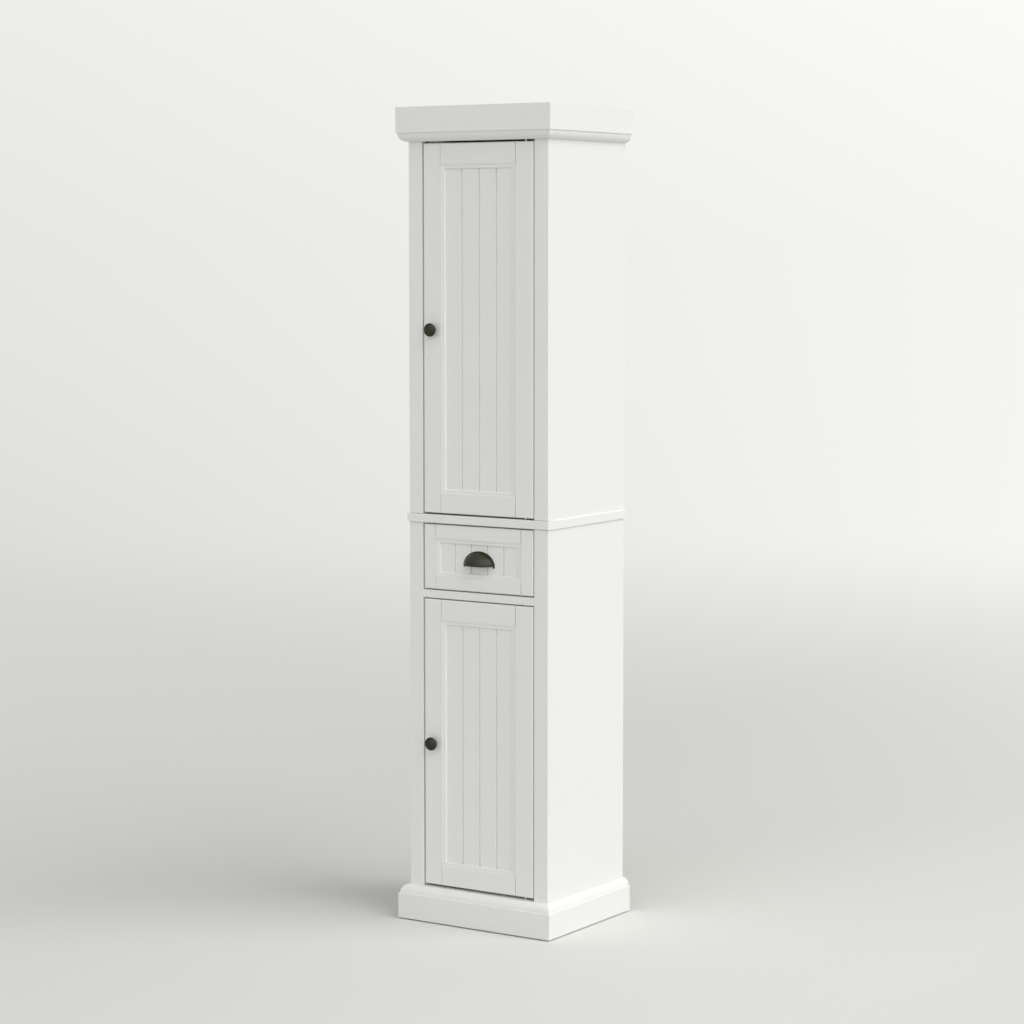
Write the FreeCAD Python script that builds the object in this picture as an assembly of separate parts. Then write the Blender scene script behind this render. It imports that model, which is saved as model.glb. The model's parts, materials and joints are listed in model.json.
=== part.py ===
import FreeCAD, Part
import math
import os

# A tall slim bathroom cabinet: a door above and a door below a drawer, a moulded crown and a moulded plinth.
# Millimetres. X runs across the cabinet, Y from its front (-Y) to its back and Z up from the floor.
# The origin is on the floor, under the middle of the cabinet's outer box.

os.makedirs("parts", exist_ok=True)

# ---------------------------------------------------------------- driving sizes

# Carcase
HEIGHT = 1830.0
BODY_WIDTH = 368.0
BODY_DEPTH = 323.0
SIDE_THICKNESS = 16.0
PANEL_THICKNESS = 18.0
CAP_THICKNESS = 18.0
BACK_THICKNESS = 3.0
BACK_REBATE = 8.0
BACK_CLEARANCE = 0.5
STILE_WIDTH = 36.0
FRONT_THICKNESS = 18.0
CARCASE_EASE = 1.0

# Openings between the horizontal boards
LOWER_OPENING = 658.6
DRAWER_OPENING = 151.2
WAIST_THICKNESS = 19.0
WAIST_PROUD = 4.0
WAIST_EASE = 2.0

# Crown and plinth: one moulding, used upside down at the top
MOULDING_HEIGHT = 76.5
MOULDING_FACE = 57.5
MOULDING_LEDGE = 3.0
MOULDING_BULGE = 3.0
MOULDING_FLAT = 1.0
SIDE_OVERHANG = 19.0
FRONT_EXTRA = 5.0

# Floor glides
GLIDE_HEIGHT = 2.5
GLIDE_RADIUS = 7.5
GLIDE_NAIL_RADIUS = 1.2
GLIDE_NAIL_LENGTH = 14.0
GLIDE_INSET = 12.0

# Gaps round the doors and the drawer front
SIDE_GAP = 3.0
UPPER_DOOR_TOP_GAP = 4.0
UPPER_DOOR_BOTTOM_GAP = 3.5
DRAWER_TOP_GAP = 2.9
DRAWER_BOTTOM_GAP = 2.4
LOWER_DOOR_TOP_GAP = 2.5
LOWER_DOOR_BOTTOM_GAP = 5.4

# Door and drawer frames
DOOR_STILE = 46.0
DOOR_TOP_RAIL = 46.4
DOOR_BOTTOM_RAIL = 43.3
DRAWER_STILE = 31.5
DRAWER_TOP_RAIL = 31.1
DRAWER_BOTTOM_RAIL = 29.1
FRAME_EASE = 2.0
SEAM_WIDTH = 1.2
SEAM_DEPTH = 0.6
PANEL_RECESS = 5.75
INSET_PANEL = 6.0
FRAME_GROOVE = 8.0
INSET_CLEARANCE = 0.5
TENON_SHOULDER = 6.0
DOOR_GROOVE_PITCH = 45.3
DRAWER_GROOVE_PITCH = 43.1
GROOVE_WIDTH = 3.0
GROOVE_DEPTH = 2.0

# Bead round each inset panel: an outer step, a flat and a cove down to the panel
BEAD_WIDTH = 11.0
BEAD_LIP_WIDTH = 3.4
BEAD_LIP_DEPTH = 0.7
BEAD_FLAT_WIDTH = 3.6
BEAD_FLAT_DEPTH = 2.4
BEAD_TOE = 1.0

# Pivots
PIVOT_INSET = 24.0
PIN_RADIUS = 2.5
PIN_SEAT = 14.0
PIN_REACH = 10.0
PIN_CLEARANCE = 0.05
BUSH_RADIUS = 4.0
BUSH_DEPTH = 11.0

# Knobs
KNOB_RADIUS = 15.0
KNOB_PROJECTION = 18.5
KNOB_FOOT_RADIUS = 7.0
KNOB_FOOT_HEIGHT = 2.0
KNOB_NECK_RADIUS = 5.0
KNOB_NECK_END = 6.5
KNOB_CUP_BULGE = 1.8
KNOB_RIM_HEIGHT = 1.8
KNOB_RING_WIDTH = 3.0
KNOB_RING_STEP = 0.8
KNOB_RING_RISE = 2.4
KNOB_DOME_RISE = 2.2
KNOB_INSET = 26.5
KNOB_DROP = 1.5

# Screws of the knobs and the cup pull
SCREW_RADIUS = 2.0
SCREW_CLEARANCE = 0.3
SCREW_HEAD_RADIUS = 4.0
SCREW_HEAD_HEIGHT = 2.5
SCREW_BITE = 7.0

# Cup pull
PULL_WIDTH = 83.0
PULL_HEIGHT = 36.5
PULL_PROJECTION = 24.0
PULL_WALL = 2.0
PULL_FLANGE = 3.0
PULL_FLANGE_THICKNESS = 2.0
PULL_EAR_RADIUS = 2.6
PULL_EAR_DROP = 3.5
PULL_SCREW_SPACING = 56.0
PULL_POST_RADIUS = 3.5
PULL_POST_LENGTH = 8.8
PULL_POST_RISE = 8.0

# Magnetic catches
CATCH_LENGTH = 42.0
CATCH_DEPTH = 16.0
CATCH_HEIGHT = 12.0
CATCH_GAP = 0.3
STRIKE_LENGTH = 36.0
STRIKE_HEIGHT = 12.0
STRIKE_THICKNESS = 1.2
STRIKE_DROP = 2.0
STRIKE_HOLE_RADIUS = 1.8

# Shelves
SHELF_THICKNESS = 16.0
SHELF_END_PLAY = 1.0
SHELF_BACK_PLAY = 2.5
SHELF_DOOR_CLEARANCE = 5.0
SHELF_EASE = 1.0
HOLE_PITCH = 32.0
HOLES_PER_SHELF = 5
PIN_ROW_INSET = 37.0
SHELF_PIN_RADIUS = 2.5
SHELF_PIN_HEAD_RADIUS = 3.5
SHELF_PIN_LENGTH = 9.0
SHELF_HOLE_DEPTH = 10.0

# Wall fixing rail
RAIL_HEIGHT = 70.0
RAIL_THICKNESS = 16.0
WALL_SCREW_SPACING = 240.0
WALL_SCREW_HOLE_RADIUS = 2.75

# Cam fittings
CAM_RADIUS = 7.5
CAM_DEPTH = 12.5
CAM_INSET = 24.0
CAM_BOLT_RADIUS = 3.5
CAM_THREAD_RADIUS = 2.5
CAM_THREAD_LENGTH = 11.0
CAM_FRONT_INSET = 50.0
CAM_BACK_INSET = 50.0

# Drawer box
BOX_RAISE = 16.4
BOX_HEIGHT = 100.0
BOX_LENGTH = 250.0
BOX_BOARD = 12.0
BOX_BOTTOM = 5.0
BOX_BOTTOM_RAISE = 8.0
BOX_GROOVE = 6.0
BOX_GROOVE_PLAY = 0.5
RUNNER_SPACE = 12.5

# Runners
RUNNER_GAUGE = 1.2
RUNNER_HEIGHT = 24.0
RUNNER_SETBACK = 1.5
RUNNER_FLANGE = 8.0
RUNNER_LIP = 9.0
SPACER_MARGIN = 6.0
ROLLER_RADIUS = 8.0
ROLLER_WIDTH = 6.0
ROLLER_PLAY = 0.3
ROLLER_SIDE_PLAY = 0.4
ROLLER_BORE_CLEARANCE = 0.05
ROLLER_END_INSET = 11.0
ROLLER_SHOULDER = 2.1
ROLLER_CHAMFER = 0.8
AXLE_RADIUS = 2.0
RIVET_RADIUS = 3.2
RIVET_HEAD = 0.6

TINY = 1e-6

# ---------------------------------------------------------------- levels and planes

half_width = BODY_WIDTH / 2
outer_half = half_width + SIDE_OVERHANG
front_overhang = SIDE_OVERHANG + FRONT_EXTRA
back = (BODY_DEPTH + front_overhang) / 2
outer_front = -back
front = outer_front + front_overhang
frame_back = front + FRONT_THICKNESS
side_inner = half_width - SIDE_THICKNESS
stile_inner = half_width - STILE_WIDTH
back_panel_front = back - BACK_THICKNESS

plinth_low = GLIDE_HEIGHT
plinth_top = plinth_low + MOULDING_HEIGHT
divider_low = plinth_top + LOWER_OPENING
divider_top = divider_low + PANEL_THICKNESS
waist_low = divider_top + DRAWER_OPENING
waist_top = waist_low + WAIST_THICKNESS
crown_low = HEIGHT - MOULDING_HEIGHT
cap_low = HEIGHT - CAP_THICKNESS
bottom_low = plinth_top - PANEL_THICKNESS

front_half = stile_inner - SIDE_GAP
panel_front = front + PANEL_RECESS
panel_back = panel_front + INSET_PANEL

pivot_x = front_half - PIVOT_INSET
pivot_y = front + FRONT_THICKNESS / 2
door_sweep = math.hypot(PIVOT_INSET, FRONT_THICKNESS / 2)
knob_x = -front_half + KNOB_INSET

box_half = stile_inner - RUNNER_SPACE
box_inner = box_half - BOX_BOARD
box_low = divider_top + BOX_RAISE
box_top = box_low + BOX_HEIGHT
box_back = frame_back + BOX_LENGTH
box_bottom_low = box_low + BOX_BOTTOM_RAISE
runner_front = frame_back + RUNNER_SETBACK
runner_back = box_back + RUNNER_SETBACK
drawer_lip_low = box_low + RUNNER_HEIGHT - RUNNER_GAUGE - 2 * ROLLER_PLAY - 2 * RUNNER_GAUGE
cabinet_roller_z = drawer_lip_low - ROLLER_PLAY - ROLLER_RADIUS
drawer_roller_z = box_low + RUNNER_GAUGE + ROLLER_PLAY + ROLLER_RADIUS
cabinet_roller_y = runner_front + ROLLER_END_INSET
drawer_roller_y = box_back - ROLLER_END_INSET

shelf_front = pivot_y + door_sweep + SHELF_DOOR_CLEARANCE
shelf_back = back_panel_front - SHELF_BACK_PLAY
shelf_rows = (shelf_front + PIN_ROW_INSET, shelf_back - PIN_ROW_INSET)
cam_rows = (frame_back + CAM_FRONT_INSET, back_panel_front - CAM_BACK_INSET)


class Front:
    """A door or a drawer front: its lowest and highest points, its frame members and its panel's grooves.

    The grooves divide the panel between its beads into boards one pitch wide, with what is left over
    shared by the two outer boards.
    """

    def __init__(self, low, high, stile, top_rail, bottom_rail, pitch):
        self.low = low
        self.high = high
        self.opening_half = front_half - stile
        self.opening_low = low + bottom_rail
        self.opening_high = high - top_rail
        boards = round(2 * (self.opening_half - BEAD_WIDTH) / pitch)
        self.grooves = [(index - boards / 2) * pitch for index in range(1, boards)]

    def middle(self):
        return (self.low + self.high) / 2


upper_door = Front(
    waist_top + UPPER_DOOR_BOTTOM_GAP, crown_low - UPPER_DOOR_TOP_GAP,
    DOOR_STILE, DOOR_TOP_RAIL, DOOR_BOTTOM_RAIL, DOOR_GROOVE_PITCH)
lower_door = Front(
    plinth_top + LOWER_DOOR_BOTTOM_GAP, divider_low - LOWER_DOOR_TOP_GAP,
    DOOR_STILE, DOOR_TOP_RAIL, DOOR_BOTTOM_RAIL, DOOR_GROOVE_PITCH)
drawer = Front(
    divider_top + DRAWER_BOTTOM_GAP, waist_low - DRAWER_TOP_GAP,
    DRAWER_STILE, DRAWER_TOP_RAIL, DRAWER_BOTTOM_RAIL, DRAWER_GROOVE_PITCH)

pull_low = drawer.middle() - PULL_HEIGHT / 2
pull_lip = pull_low + PULL_EAR_DROP


# ---------------------------------------------------------------- shapes used throughout

def at(x, y, z):
    return FreeCAD.Vector(x, y, z)


def block(x, y, z):
    """A box between two values of x, of y and of z."""
    return Part.makeBox(x[1] - x[0], y[1] - y[0], z[1] - z[0], at(x[0], y[0], z[0]))


def post(radius, start, along, length):
    return Part.makeCylinder(radius, length, start, along)


def prism(corners, along):
    """A solid swept along a vector from a flat outline given by its corners."""
    outline = Part.makePolygon(corners + corners[:1])
    return Part.Face(outline).extrude(along)


def plan_prism(corners, low, high):
    return prism([at(x, y, low) for x, y in corners], at(0, 0, high - low))


def front_prism(corners):
    """A prism through the whole depth of the cabinet from an outline in X and Z."""
    return prism([at(x, outer_front, z) for x, z in corners], at(0, back - outer_front, 0))


def mirrored(shape):
    return shape.mirror(at(0, 0, 0), at(1, 0, 0))


def pair(shape):
    """A right-hand piece and its left-hand mirror image."""
    return Part.makeCompound([shape, mirrored(shape)])


def fused(shapes):
    return shapes[0].multiFuse(shapes[1:]).removeSplitter().Solids[0]


def edges_at(shape, x=None, y=None, z=None):
    """The edges whose ends all have the coordinates that are given."""
    wanted = [(index, value) for index, value in enumerate((x, y, z)) if value is not None]
    found = []
    for edge in shape.Edges:
        ends = [vertex.Point for vertex in edge.Vertexes]
        if all(abs(end[index] - value) < TINY for end in ends for index, value in wanted):
            found.append(edge)
    return found


def eased(shape, radius, places):
    """The shape with a small radius on the edges at each of the places."""
    edges = []
    for place in places:
        edges.extend(edges_at(shape, **place))
    return shape.makeFillet(radius, edges)


def screw(head, along, length):
    """A screw with a pan head, from the underside of its head along its shank."""
    shank = post(SCREW_RADIUS, head, along, length)
    pan = post(SCREW_HEAD_RADIUS, head, -along, SCREW_HEAD_HEIGHT)
    far_rim = [edge for edge in pan.Edges if (edge.CenterOfMass - head).Length > SCREW_HEAD_HEIGHT / 2]
    pan = pan.makeFillet(SCREW_HEAD_HEIGHT / 2, [e for e in far_rim if len(e.Vertexes) == 1])
    return fused([shank, pan])


def export(name, shape):
    shape.exportStep("parts/" + name + ".step")


# ---------------------------------------------------------------- crown and plinth

def moulding_section(thickness, place):
    """The moulding's section: a plain face, a ledge and a convex curve that runs in towards the body."""
    reach = SIDE_OVERHANG - MOULDING_LEDGE - MOULDING_FLAT
    rise = MOULDING_HEIGHT - MOULDING_FACE
    chord = math.hypot(reach, rise)
    middle = place(
        MOULDING_LEDGE + reach / 2 - MOULDING_BULGE * rise / chord,
        MOULDING_FACE + rise / 2 + MOULDING_BULGE * reach / chord)
    start = place(MOULDING_LEDGE, MOULDING_FACE)
    end = place(MOULDING_LEDGE + reach, MOULDING_HEIGHT)
    corners = [
        end, place(thickness, MOULDING_HEIGHT), place(thickness, 0),
        place(0, 0), place(0, MOULDING_FACE), start]
    edges = Part.makePolygon(corners).Edges + [Part.Arc(start, middle, end).toShape()]
    return Part.Face(Part.Wire(edges))


def moulded_front(level):
    """The front board, mitred from its outer corners; level turns a height on the section into a z."""
    section = moulding_section(front_overhang, lambda depth, height: at(
        -outer_half, outer_front + depth, level(height)))
    mitre_end = outer_front + SIDE_OVERHANG
    plan = [
        (-outer_half, outer_front), (outer_half, outer_front), (half_width, mitre_end),
        (half_width, front), (-half_width, front), (-half_width, mitre_end)]
    board = section.extrude(at(2 * outer_half, 0, 0))
    return board.common(plan_prism(plan, 0, HEIGHT)).Solids[0]


def moulded_side(level):
    """The right-hand board, mitred at the front and square at the back."""
    section = moulding_section(SIDE_OVERHANG, lambda depth, height: at(
        outer_half - depth, outer_front, level(height)))
    plan = [
        (outer_half, outer_front), (outer_half, back), (half_width, back),
        (half_width, outer_front + SIDE_OVERHANG)]
    board = section.extrude(at(0, back - outer_front, 0))
    return board.common(plan_prism(plan, 0, HEIGHT)).Solids[0]


def crown_level(height):
    return HEIGHT - height


def plinth_level(height):
    return plinth_low + height


# ---------------------------------------------------------------- holes that more than one piece shares

def shelf_levels(low, high, count):
    """Undersides of the shelves that share an opening evenly."""
    return [low + (high - low) * (index + 1) / (count + 1) for index in range(count)]


upper_shelf_levels = shelf_levels(waist_top, crown_low, 2)
lower_shelf_levels = shelf_levels(plinth_top, divider_low, 1)


def shelf_holes(levels):
    """Blind holes in the right-hand side for the shelf pins, in rows centred on each shelf's pins."""
    holes = []
    for level in levels:
        for row in shelf_rows:
            for index in range(HOLES_PER_SHELF):
                step = (index - (HOLES_PER_SHELF - 1) / 2) * HOLE_PITCH
                mouth = at(side_inner, row, level - SHELF_PIN_HEAD_RADIUS + step)
                holes.append(post(SHELF_PIN_RADIUS, mouth, at(1, 0, 0), SHELF_HOLE_DEPTH))
    return holes


def cam_places(level):
    """Where the cams stand in a horizontal panel whose middle is at this level, right-hand side only."""
    return [at(side_inner - CAM_INSET, row, level) for row in cam_rows]


def cam_bolt(place):
    bolt = post(CAM_BOLT_RADIUS, place, at(1, 0, 0), CAM_INSET)
    thread = post(CAM_THREAD_RADIUS, place, at(1, 0, 0), CAM_INSET + CAM_THREAD_LENGTH)
    return fused([bolt, thread])


def cam_barrel(place, upward):
    """A cam sunk into the panel from below, or from above if upward is true."""
    face = PANEL_THICKNESS / 2 if upward else -PANEL_THICKNESS / 2
    along = at(0, 0, -1) if upward else at(0, 0, 1)
    return post(CAM_RADIUS, place + at(0, 0, face), along, CAM_DEPTH)


def cam_cuts(level, upward):
    cuts = []
    for place in cam_places(level):
        cuts.append(cam_barrel(place, upward))
        cuts.append(cam_bolt(place))
    return cuts


bottom_cams = (bottom_low + PANEL_THICKNESS / 2, False)
divider_cams = (divider_low + PANEL_THICKNESS / 2, False)
ceiling_cams = (crown_low + PANEL_THICKNESS / 2, True)


def pivot_hole(level, up):
    """The hole for a bush, from the face at this level into the board."""
    return post(BUSH_RADIUS, at(pivot_x, pivot_y, level), at(0, 0, up), BUSH_DEPTH)


def wall_screw_holes():
    level = crown_low - RAIL_HEIGHT / 2
    start = back_panel_front - RAIL_THICKNESS
    return [
        post(WALL_SCREW_HOLE_RADIUS, at(x, start, level), at(0, 1, 0), back - start)
        for x in (-WALL_SCREW_SPACING / 2, WALL_SCREW_SPACING / 2)]


# ---------------------------------------------------------------- carcase

def side_panel(low, high, cuts):
    """A right-hand side, rebated for the back panel, with its front and back outer edges eased."""
    panel = block((side_inner, half_width), (frame_back, back), (low, high))
    panel = eased(panel, CARCASE_EASE, [{"x": half_width, "y": back}])
    rebate = block((side_inner, side_inner + BACK_REBATE), (back_panel_front, back), (low, high))
    return panel.cut([rebate] + cuts)


def lower_side():
    cuts = shelf_holes(lower_shelf_levels)
    for level, upward in (bottom_cams, divider_cams):
        cuts.extend(cam_bolt(place) for place in cam_places(level))
    cuts.append(glide_nail(side_inner + SIDE_THICKNESS / 2, back - GLIDE_INSET))
    return side_panel(plinth_low, waist_low, cuts)


def upper_side():
    cuts = shelf_holes(upper_shelf_levels)
    cuts.extend(cam_bolt(place) for place in cam_places(ceiling_cams[0]))
    return side_panel(waist_top, cap_low, cuts)


def face_stile(low, high):
    stile = block((stile_inner, half_width), (front, frame_back), (low, high))
    return eased(stile, CARCASE_EASE, [{"x": half_width, "y": front}, {"x": stile_inner, "y": front}])


def notched_panel(low):
    """A horizontal panel between the sides, with its front edge flush between the stiles."""
    plan = [
        (-side_inner, frame_back), (-stile_inner, frame_back), (-stile_inner, front), (stile_inner, front),
        (stile_inner, frame_back), (side_inner, frame_back), (side_inner, back_panel_front),
        (-side_inner, back_panel_front)]
    return plan_prism(plan, low, low + PANEL_THICKNESS)


def cut_panel(low, cams, holes):
    """A horizontal panel with its cam pockets on both sides and any other holes."""
    cuts = cam_cuts(*cams)
    return notched_panel(low).cut(cuts + [mirrored(cut) for cut in cuts] + holes)


def bottom_panel():
    return cut_panel(bottom_low, bottom_cams, [pivot_hole(plinth_top, -1)])


def drawer_divider():
    panel = cut_panel(divider_low, divider_cams, [pivot_hole(divider_low, 1)])
    return eased(panel, CARCASE_EASE, [{"y": front, "z": divider_low}, {"y": front, "z": divider_top}])


def ceiling_panel():
    return cut_panel(crown_low, ceiling_cams, [pivot_hole(crown_low, 1)])


def waist_board():
    """The board that divides the upper and lower carcases, a little proud at the front and sides."""
    reach = half_width + WAIST_PROUD
    face = front - WAIST_PROUD
    board = block((-reach, reach), (face, back), (waist_low, waist_top))
    levels = (waist_low, waist_top)
    places = [{"y": face, "z": level} for level in levels]
    places += [{"x": side, "z": level} for side in (-reach, reach) for level in levels]
    places += [{"x": side, "y": face} for side in (-reach, reach)]
    return eased(board, WAIST_EASE, places).cut(pivot_hole(waist_top, -1))


def top_cap():
    return block((-half_width, half_width), (front, back), (cap_low, HEIGHT))


def back_panel(low, high):
    reach = side_inner + BACK_REBATE - BACK_CLEARANCE
    return block((-reach, reach), (back_panel_front, back), (low, high))


def wall_fixing_rail():
    rail = block(
        (-side_inner, side_inner), (back_panel_front - RAIL_THICKNESS, back_panel_front),
        (crown_low - RAIL_HEIGHT, crown_low))
    return rail.cut(wall_screw_holes())


# ---------------------------------------------------------------- floor glides

def glide_nail(x, y):
    return post(GLIDE_NAIL_RADIUS, at(x, y, plinth_low), at(0, 0, 1), GLIDE_NAIL_LENGTH)


def front_glide_place():
    return (half_width - GLIDE_RADIUS, outer_front + front_overhang / 2)


def floor_glides():
    """Four glides: two under the ends of the front plinth board and two under the backs of the sides."""
    glides = []
    for x, y in (front_glide_place(), (side_inner + SIDE_THICKNESS / 2, back - GLIDE_INSET)):
        disc = post(GLIDE_RADIUS, at(x, y, 0), at(0, 0, 1), GLIDE_HEIGHT)
        glide = fused([disc, glide_nail(x, y)])
        glides.extend([glide, mirrored(glide)])
    return Part.makeCompound(glides)


def plinth_front():
    nail = glide_nail(*front_glide_place())
    return moulded_front(plinth_level).cut([nail, mirrored(nail)])


# ---------------------------------------------------------------- fittings in the carcase

def pivot_bushes():
    """Tubes pressed into the boards above and below each door."""
    bushes = []
    for level, up in ((plinth_top, -1), (divider_low, 1), (waist_top, -1), (crown_low, 1)):
        bore = post(PIN_RADIUS + PIN_CLEARANCE, at(pivot_x, pivot_y, level), at(0, 0, up), BUSH_DEPTH)
        bushes.append(pivot_hole(level, up).cut(bore))
    return Part.makeCompound(bushes)


def cam_fittings():
    fittings = []
    for level, upward in (bottom_cams, divider_cams, ceiling_cams):
        for place in cam_places(level):
            bolt = cam_bolt(place)
            barrel = cam_barrel(place, upward).cut(bolt).Solids[0]
            fittings.extend([bolt, barrel, mirrored(bolt), mirrored(barrel)])
    return Part.makeCompound(fittings)


def magnetic_catches():
    """A catch under the ceiling and one under the drawer divider, just behind the doors' strike plates."""
    middle = -front_half + DOOR_STILE / 2
    face = frame_back + STRIKE_THICKNESS + CATCH_GAP
    catches = []
    for level in (crown_low, divider_low):
        body = block(
            (middle - CATCH_LENGTH / 2, middle + CATCH_LENGTH / 2), (face, face + CATCH_DEPTH),
            (level - CATCH_HEIGHT, level))
        low_edges = [{"y": face + CATCH_DEPTH, "z": level - CATCH_HEIGHT}]
        catches.append(eased(body, CATCH_HEIGHT / 4, low_edges))
    return Part.makeCompound(catches)


def shelf(level):
    reach = side_inner - SHELF_END_PLAY
    board = block((-reach, reach), (shelf_front, shelf_back), (level, level + SHELF_THICKNESS))
    top = level + SHELF_THICKNESS
    return eased(board, SHELF_EASE, [{"y": shelf_front, "z": level}, {"y": shelf_front, "z": top}])


def shelf_pins():
    """Pins under the ends of every shelf: a thin end in the side and a thicker end under the shelf."""
    pins = []
    for level in upper_shelf_levels + lower_shelf_levels:
        for row in shelf_rows:
            mouth = at(side_inner, row, level - SHELF_PIN_HEAD_RADIUS)
            inner = post(SHELF_PIN_RADIUS, mouth, at(1, 0, 0), SHELF_PIN_LENGTH)
            outer = post(SHELF_PIN_HEAD_RADIUS, mouth, at(-1, 0, 0), SHELF_PIN_LENGTH)
            pin = fused([inner, outer])
            pins.extend([pin, mirrored(pin)])
    return Part.makeCompound(pins)


# ---------------------------------------------------------------- door and drawer frames

def seam_cuts(shape_front):
    """Fine V lines where the rails meet the stiles, right-hand side only."""
    x = shape_front.opening_half
    section = [
        at(x - SEAM_WIDTH / 2, front, 0), at(x + SEAM_WIDTH / 2, front, 0), at(x, front + SEAM_DEPTH, 0)]
    cuts = []
    for low, high in (
            (shape_front.low, shape_front.opening_low), (shape_front.opening_high, shape_front.high)):
        cut = prism(section, at(0, 0, high - low))
        cut.translate(at(0, 0, low))
        cuts.append(cut)
    return cuts


def frame_stile(shape_front):
    """The right-hand stile: full height, grooved for the panel, with its outer front edges eased."""
    low, high = shape_front.low, shape_front.high
    inner = shape_front.opening_half
    stile = block((inner, front_half), (front, frame_back), (low, high))
    stile = eased(stile, FRAME_EASE, [
        {"x": front_half, "y": front}, {"y": front, "z": low}, {"y": front, "z": high}])
    groove = block(
        (inner, inner + FRAME_GROOVE), (panel_front, panel_back),
        (low + TENON_SHOULDER, high - TENON_SHOULDER))
    return stile.cut([groove] + seam_cuts(shape_front))


def frame_rail(shape_front, top):
    """The top or bottom rail, with stub tenons that fill the ends of the stiles' grooves."""
    inner = shape_front.opening_half
    if top:
        low, high = shape_front.opening_high, shape_front.high
        outer_edge = high
        groove_levels = (low, low + FRAME_GROOVE)
        tenon_levels = (low + FRAME_GROOVE, high - TENON_SHOULDER)
    else:
        low, high = shape_front.low, shape_front.opening_low
        outer_edge = low
        groove_levels = (high - FRAME_GROOVE, high)
        tenon_levels = (low + TENON_SHOULDER, high - FRAME_GROOVE)
    rail = block((-inner, inner), (front, frame_back), (low, high))
    rail = eased(rail, FRAME_EASE, [{"y": front, "z": outer_edge}])
    tenon = block((-inner - FRAME_GROOVE, inner + FRAME_GROOVE), (panel_front, panel_back), tenon_levels)
    groove = block((-inner, inner), (panel_front, panel_back), groove_levels)
    cuts = seam_cuts(shape_front)
    return fused([rail.cut([groove] + cuts + [mirrored(cut) for cut in cuts]), tenon])


def inset_panel(shape_front):
    """The panel held in the frame's grooves, with V grooves down its face."""
    reach = shape_front.opening_half + FRAME_GROOVE - INSET_CLEARANCE
    low = shape_front.opening_low - FRAME_GROOVE + INSET_CLEARANCE
    high = shape_front.opening_high + FRAME_GROOVE - INSET_CLEARANCE
    panel = block((-reach, reach), (panel_front, panel_back), (low, high))
    cuts = []
    for x in shape_front.grooves:
        section = [
            at(x - GROOVE_WIDTH / 2, panel_front, low), at(x + GROOVE_WIDTH / 2, panel_front, low),
            at(x, panel_front + GROOVE_DEPTH, low)]
        cuts.append(prism(section, at(0, 0, high - low)))
    return panel.cut(cuts)


def bead_section(place):
    """The bead's section, from the frame in towards the panel; place turns width and depth into a point."""
    ledge = BEAD_LIP_WIDTH + BEAD_FLAT_WIDTH
    toe = PANEL_RECESS - BEAD_TOE
    cove_width = BEAD_WIDTH - ledge
    cove_depth = toe - BEAD_FLAT_DEPTH
    corners = [
        place(BEAD_WIDTH, toe), place(BEAD_WIDTH, PANEL_RECESS), place(0, PANEL_RECESS),
        place(0, BEAD_LIP_DEPTH), place(BEAD_LIP_WIDTH, BEAD_LIP_DEPTH),
        place(BEAD_LIP_WIDTH, BEAD_FLAT_DEPTH), place(ledge, BEAD_FLAT_DEPTH)]
    bend = place(ledge + cove_width * 0.62, BEAD_FLAT_DEPTH + cove_depth * 0.38)
    edges = Part.makePolygon(corners).Edges + [Part.Arc(corners[-1], bend, corners[0]).toShape()]
    return Part.Face(Part.Wire(edges))


def panel_bead(shape_front):
    """Four mitred strips that hide the panel's edge."""
    half = shape_front.opening_half
    low, high = shape_front.opening_low, shape_front.opening_high
    inner = half - BEAD_WIDTH
    upright = bead_section(lambda width, depth: at(half - width, front + depth, low))
    upright = upright.extrude(at(0, 0, high - low)).common(front_prism([
        (half, low), (half, high), (inner, high - BEAD_WIDTH), (inner, low + BEAD_WIDTH)])).Solids[0]
    over = bead_section(lambda width, depth: at(-half, front + depth, high - width))
    over = over.extrude(at(2 * half, 0, 0)).common(front_prism([
        (-half, high), (half, high), (inner, high - BEAD_WIDTH), (-inner, high - BEAD_WIDTH)])).Solids[0]
    under = bead_section(lambda width, depth: at(-half, front + depth, low + width))
    under = under.extrude(at(2 * half, 0, 0)).common(front_prism([
        (-half, low), (half, low), (inner, low + BEAD_WIDTH), (-inner, low + BEAD_WIDTH)])).Solids[0]
    return Part.makeCompound([upright, mirrored(upright), over, under])


# ---------------------------------------------------------------- doors

def knob_level(door):
    return door.middle() - KNOB_DROP


def hinge_stile(door):
    """The right-hand stile of a door, bored at both ends for the pivot pins."""
    holes = [
        post(PIN_RADIUS, at(pivot_x, pivot_y, door.low), at(0, 0, 1), PIN_SEAT),
        post(PIN_RADIUS, at(pivot_x, pivot_y, door.high), at(0, 0, -1), PIN_SEAT)]
    return frame_stile(door).cut(holes)


def knob_stile(door):
    """The left-hand stile of a door, bored for the knob's screw."""
    hole = post(
        SCREW_RADIUS + SCREW_CLEARANCE, at(knob_x, front, knob_level(door)), at(0, 1, 0), FRONT_THICKNESS)
    return mirrored(frame_stile(door)).cut(hole)


def frame_rails(shape_front):
    return Part.makeCompound([frame_rail(shape_front, True), frame_rail(shape_front, False)])


def pivot_pins(door, floor, roof):
    """The two pins of a door, from inside its stile into the bushes of the boards below and above it."""
    lower = at(pivot_x, pivot_y, floor - PIN_REACH)
    upper = at(pivot_x, pivot_y, roof + PIN_REACH)
    return Part.makeCompound([
        post(PIN_RADIUS, lower, at(0, 0, 1), PIN_REACH + door.low - floor + PIN_SEAT),
        post(PIN_RADIUS, upper, at(0, 0, -1), PIN_REACH + roof - door.high + PIN_SEAT)])


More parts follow.
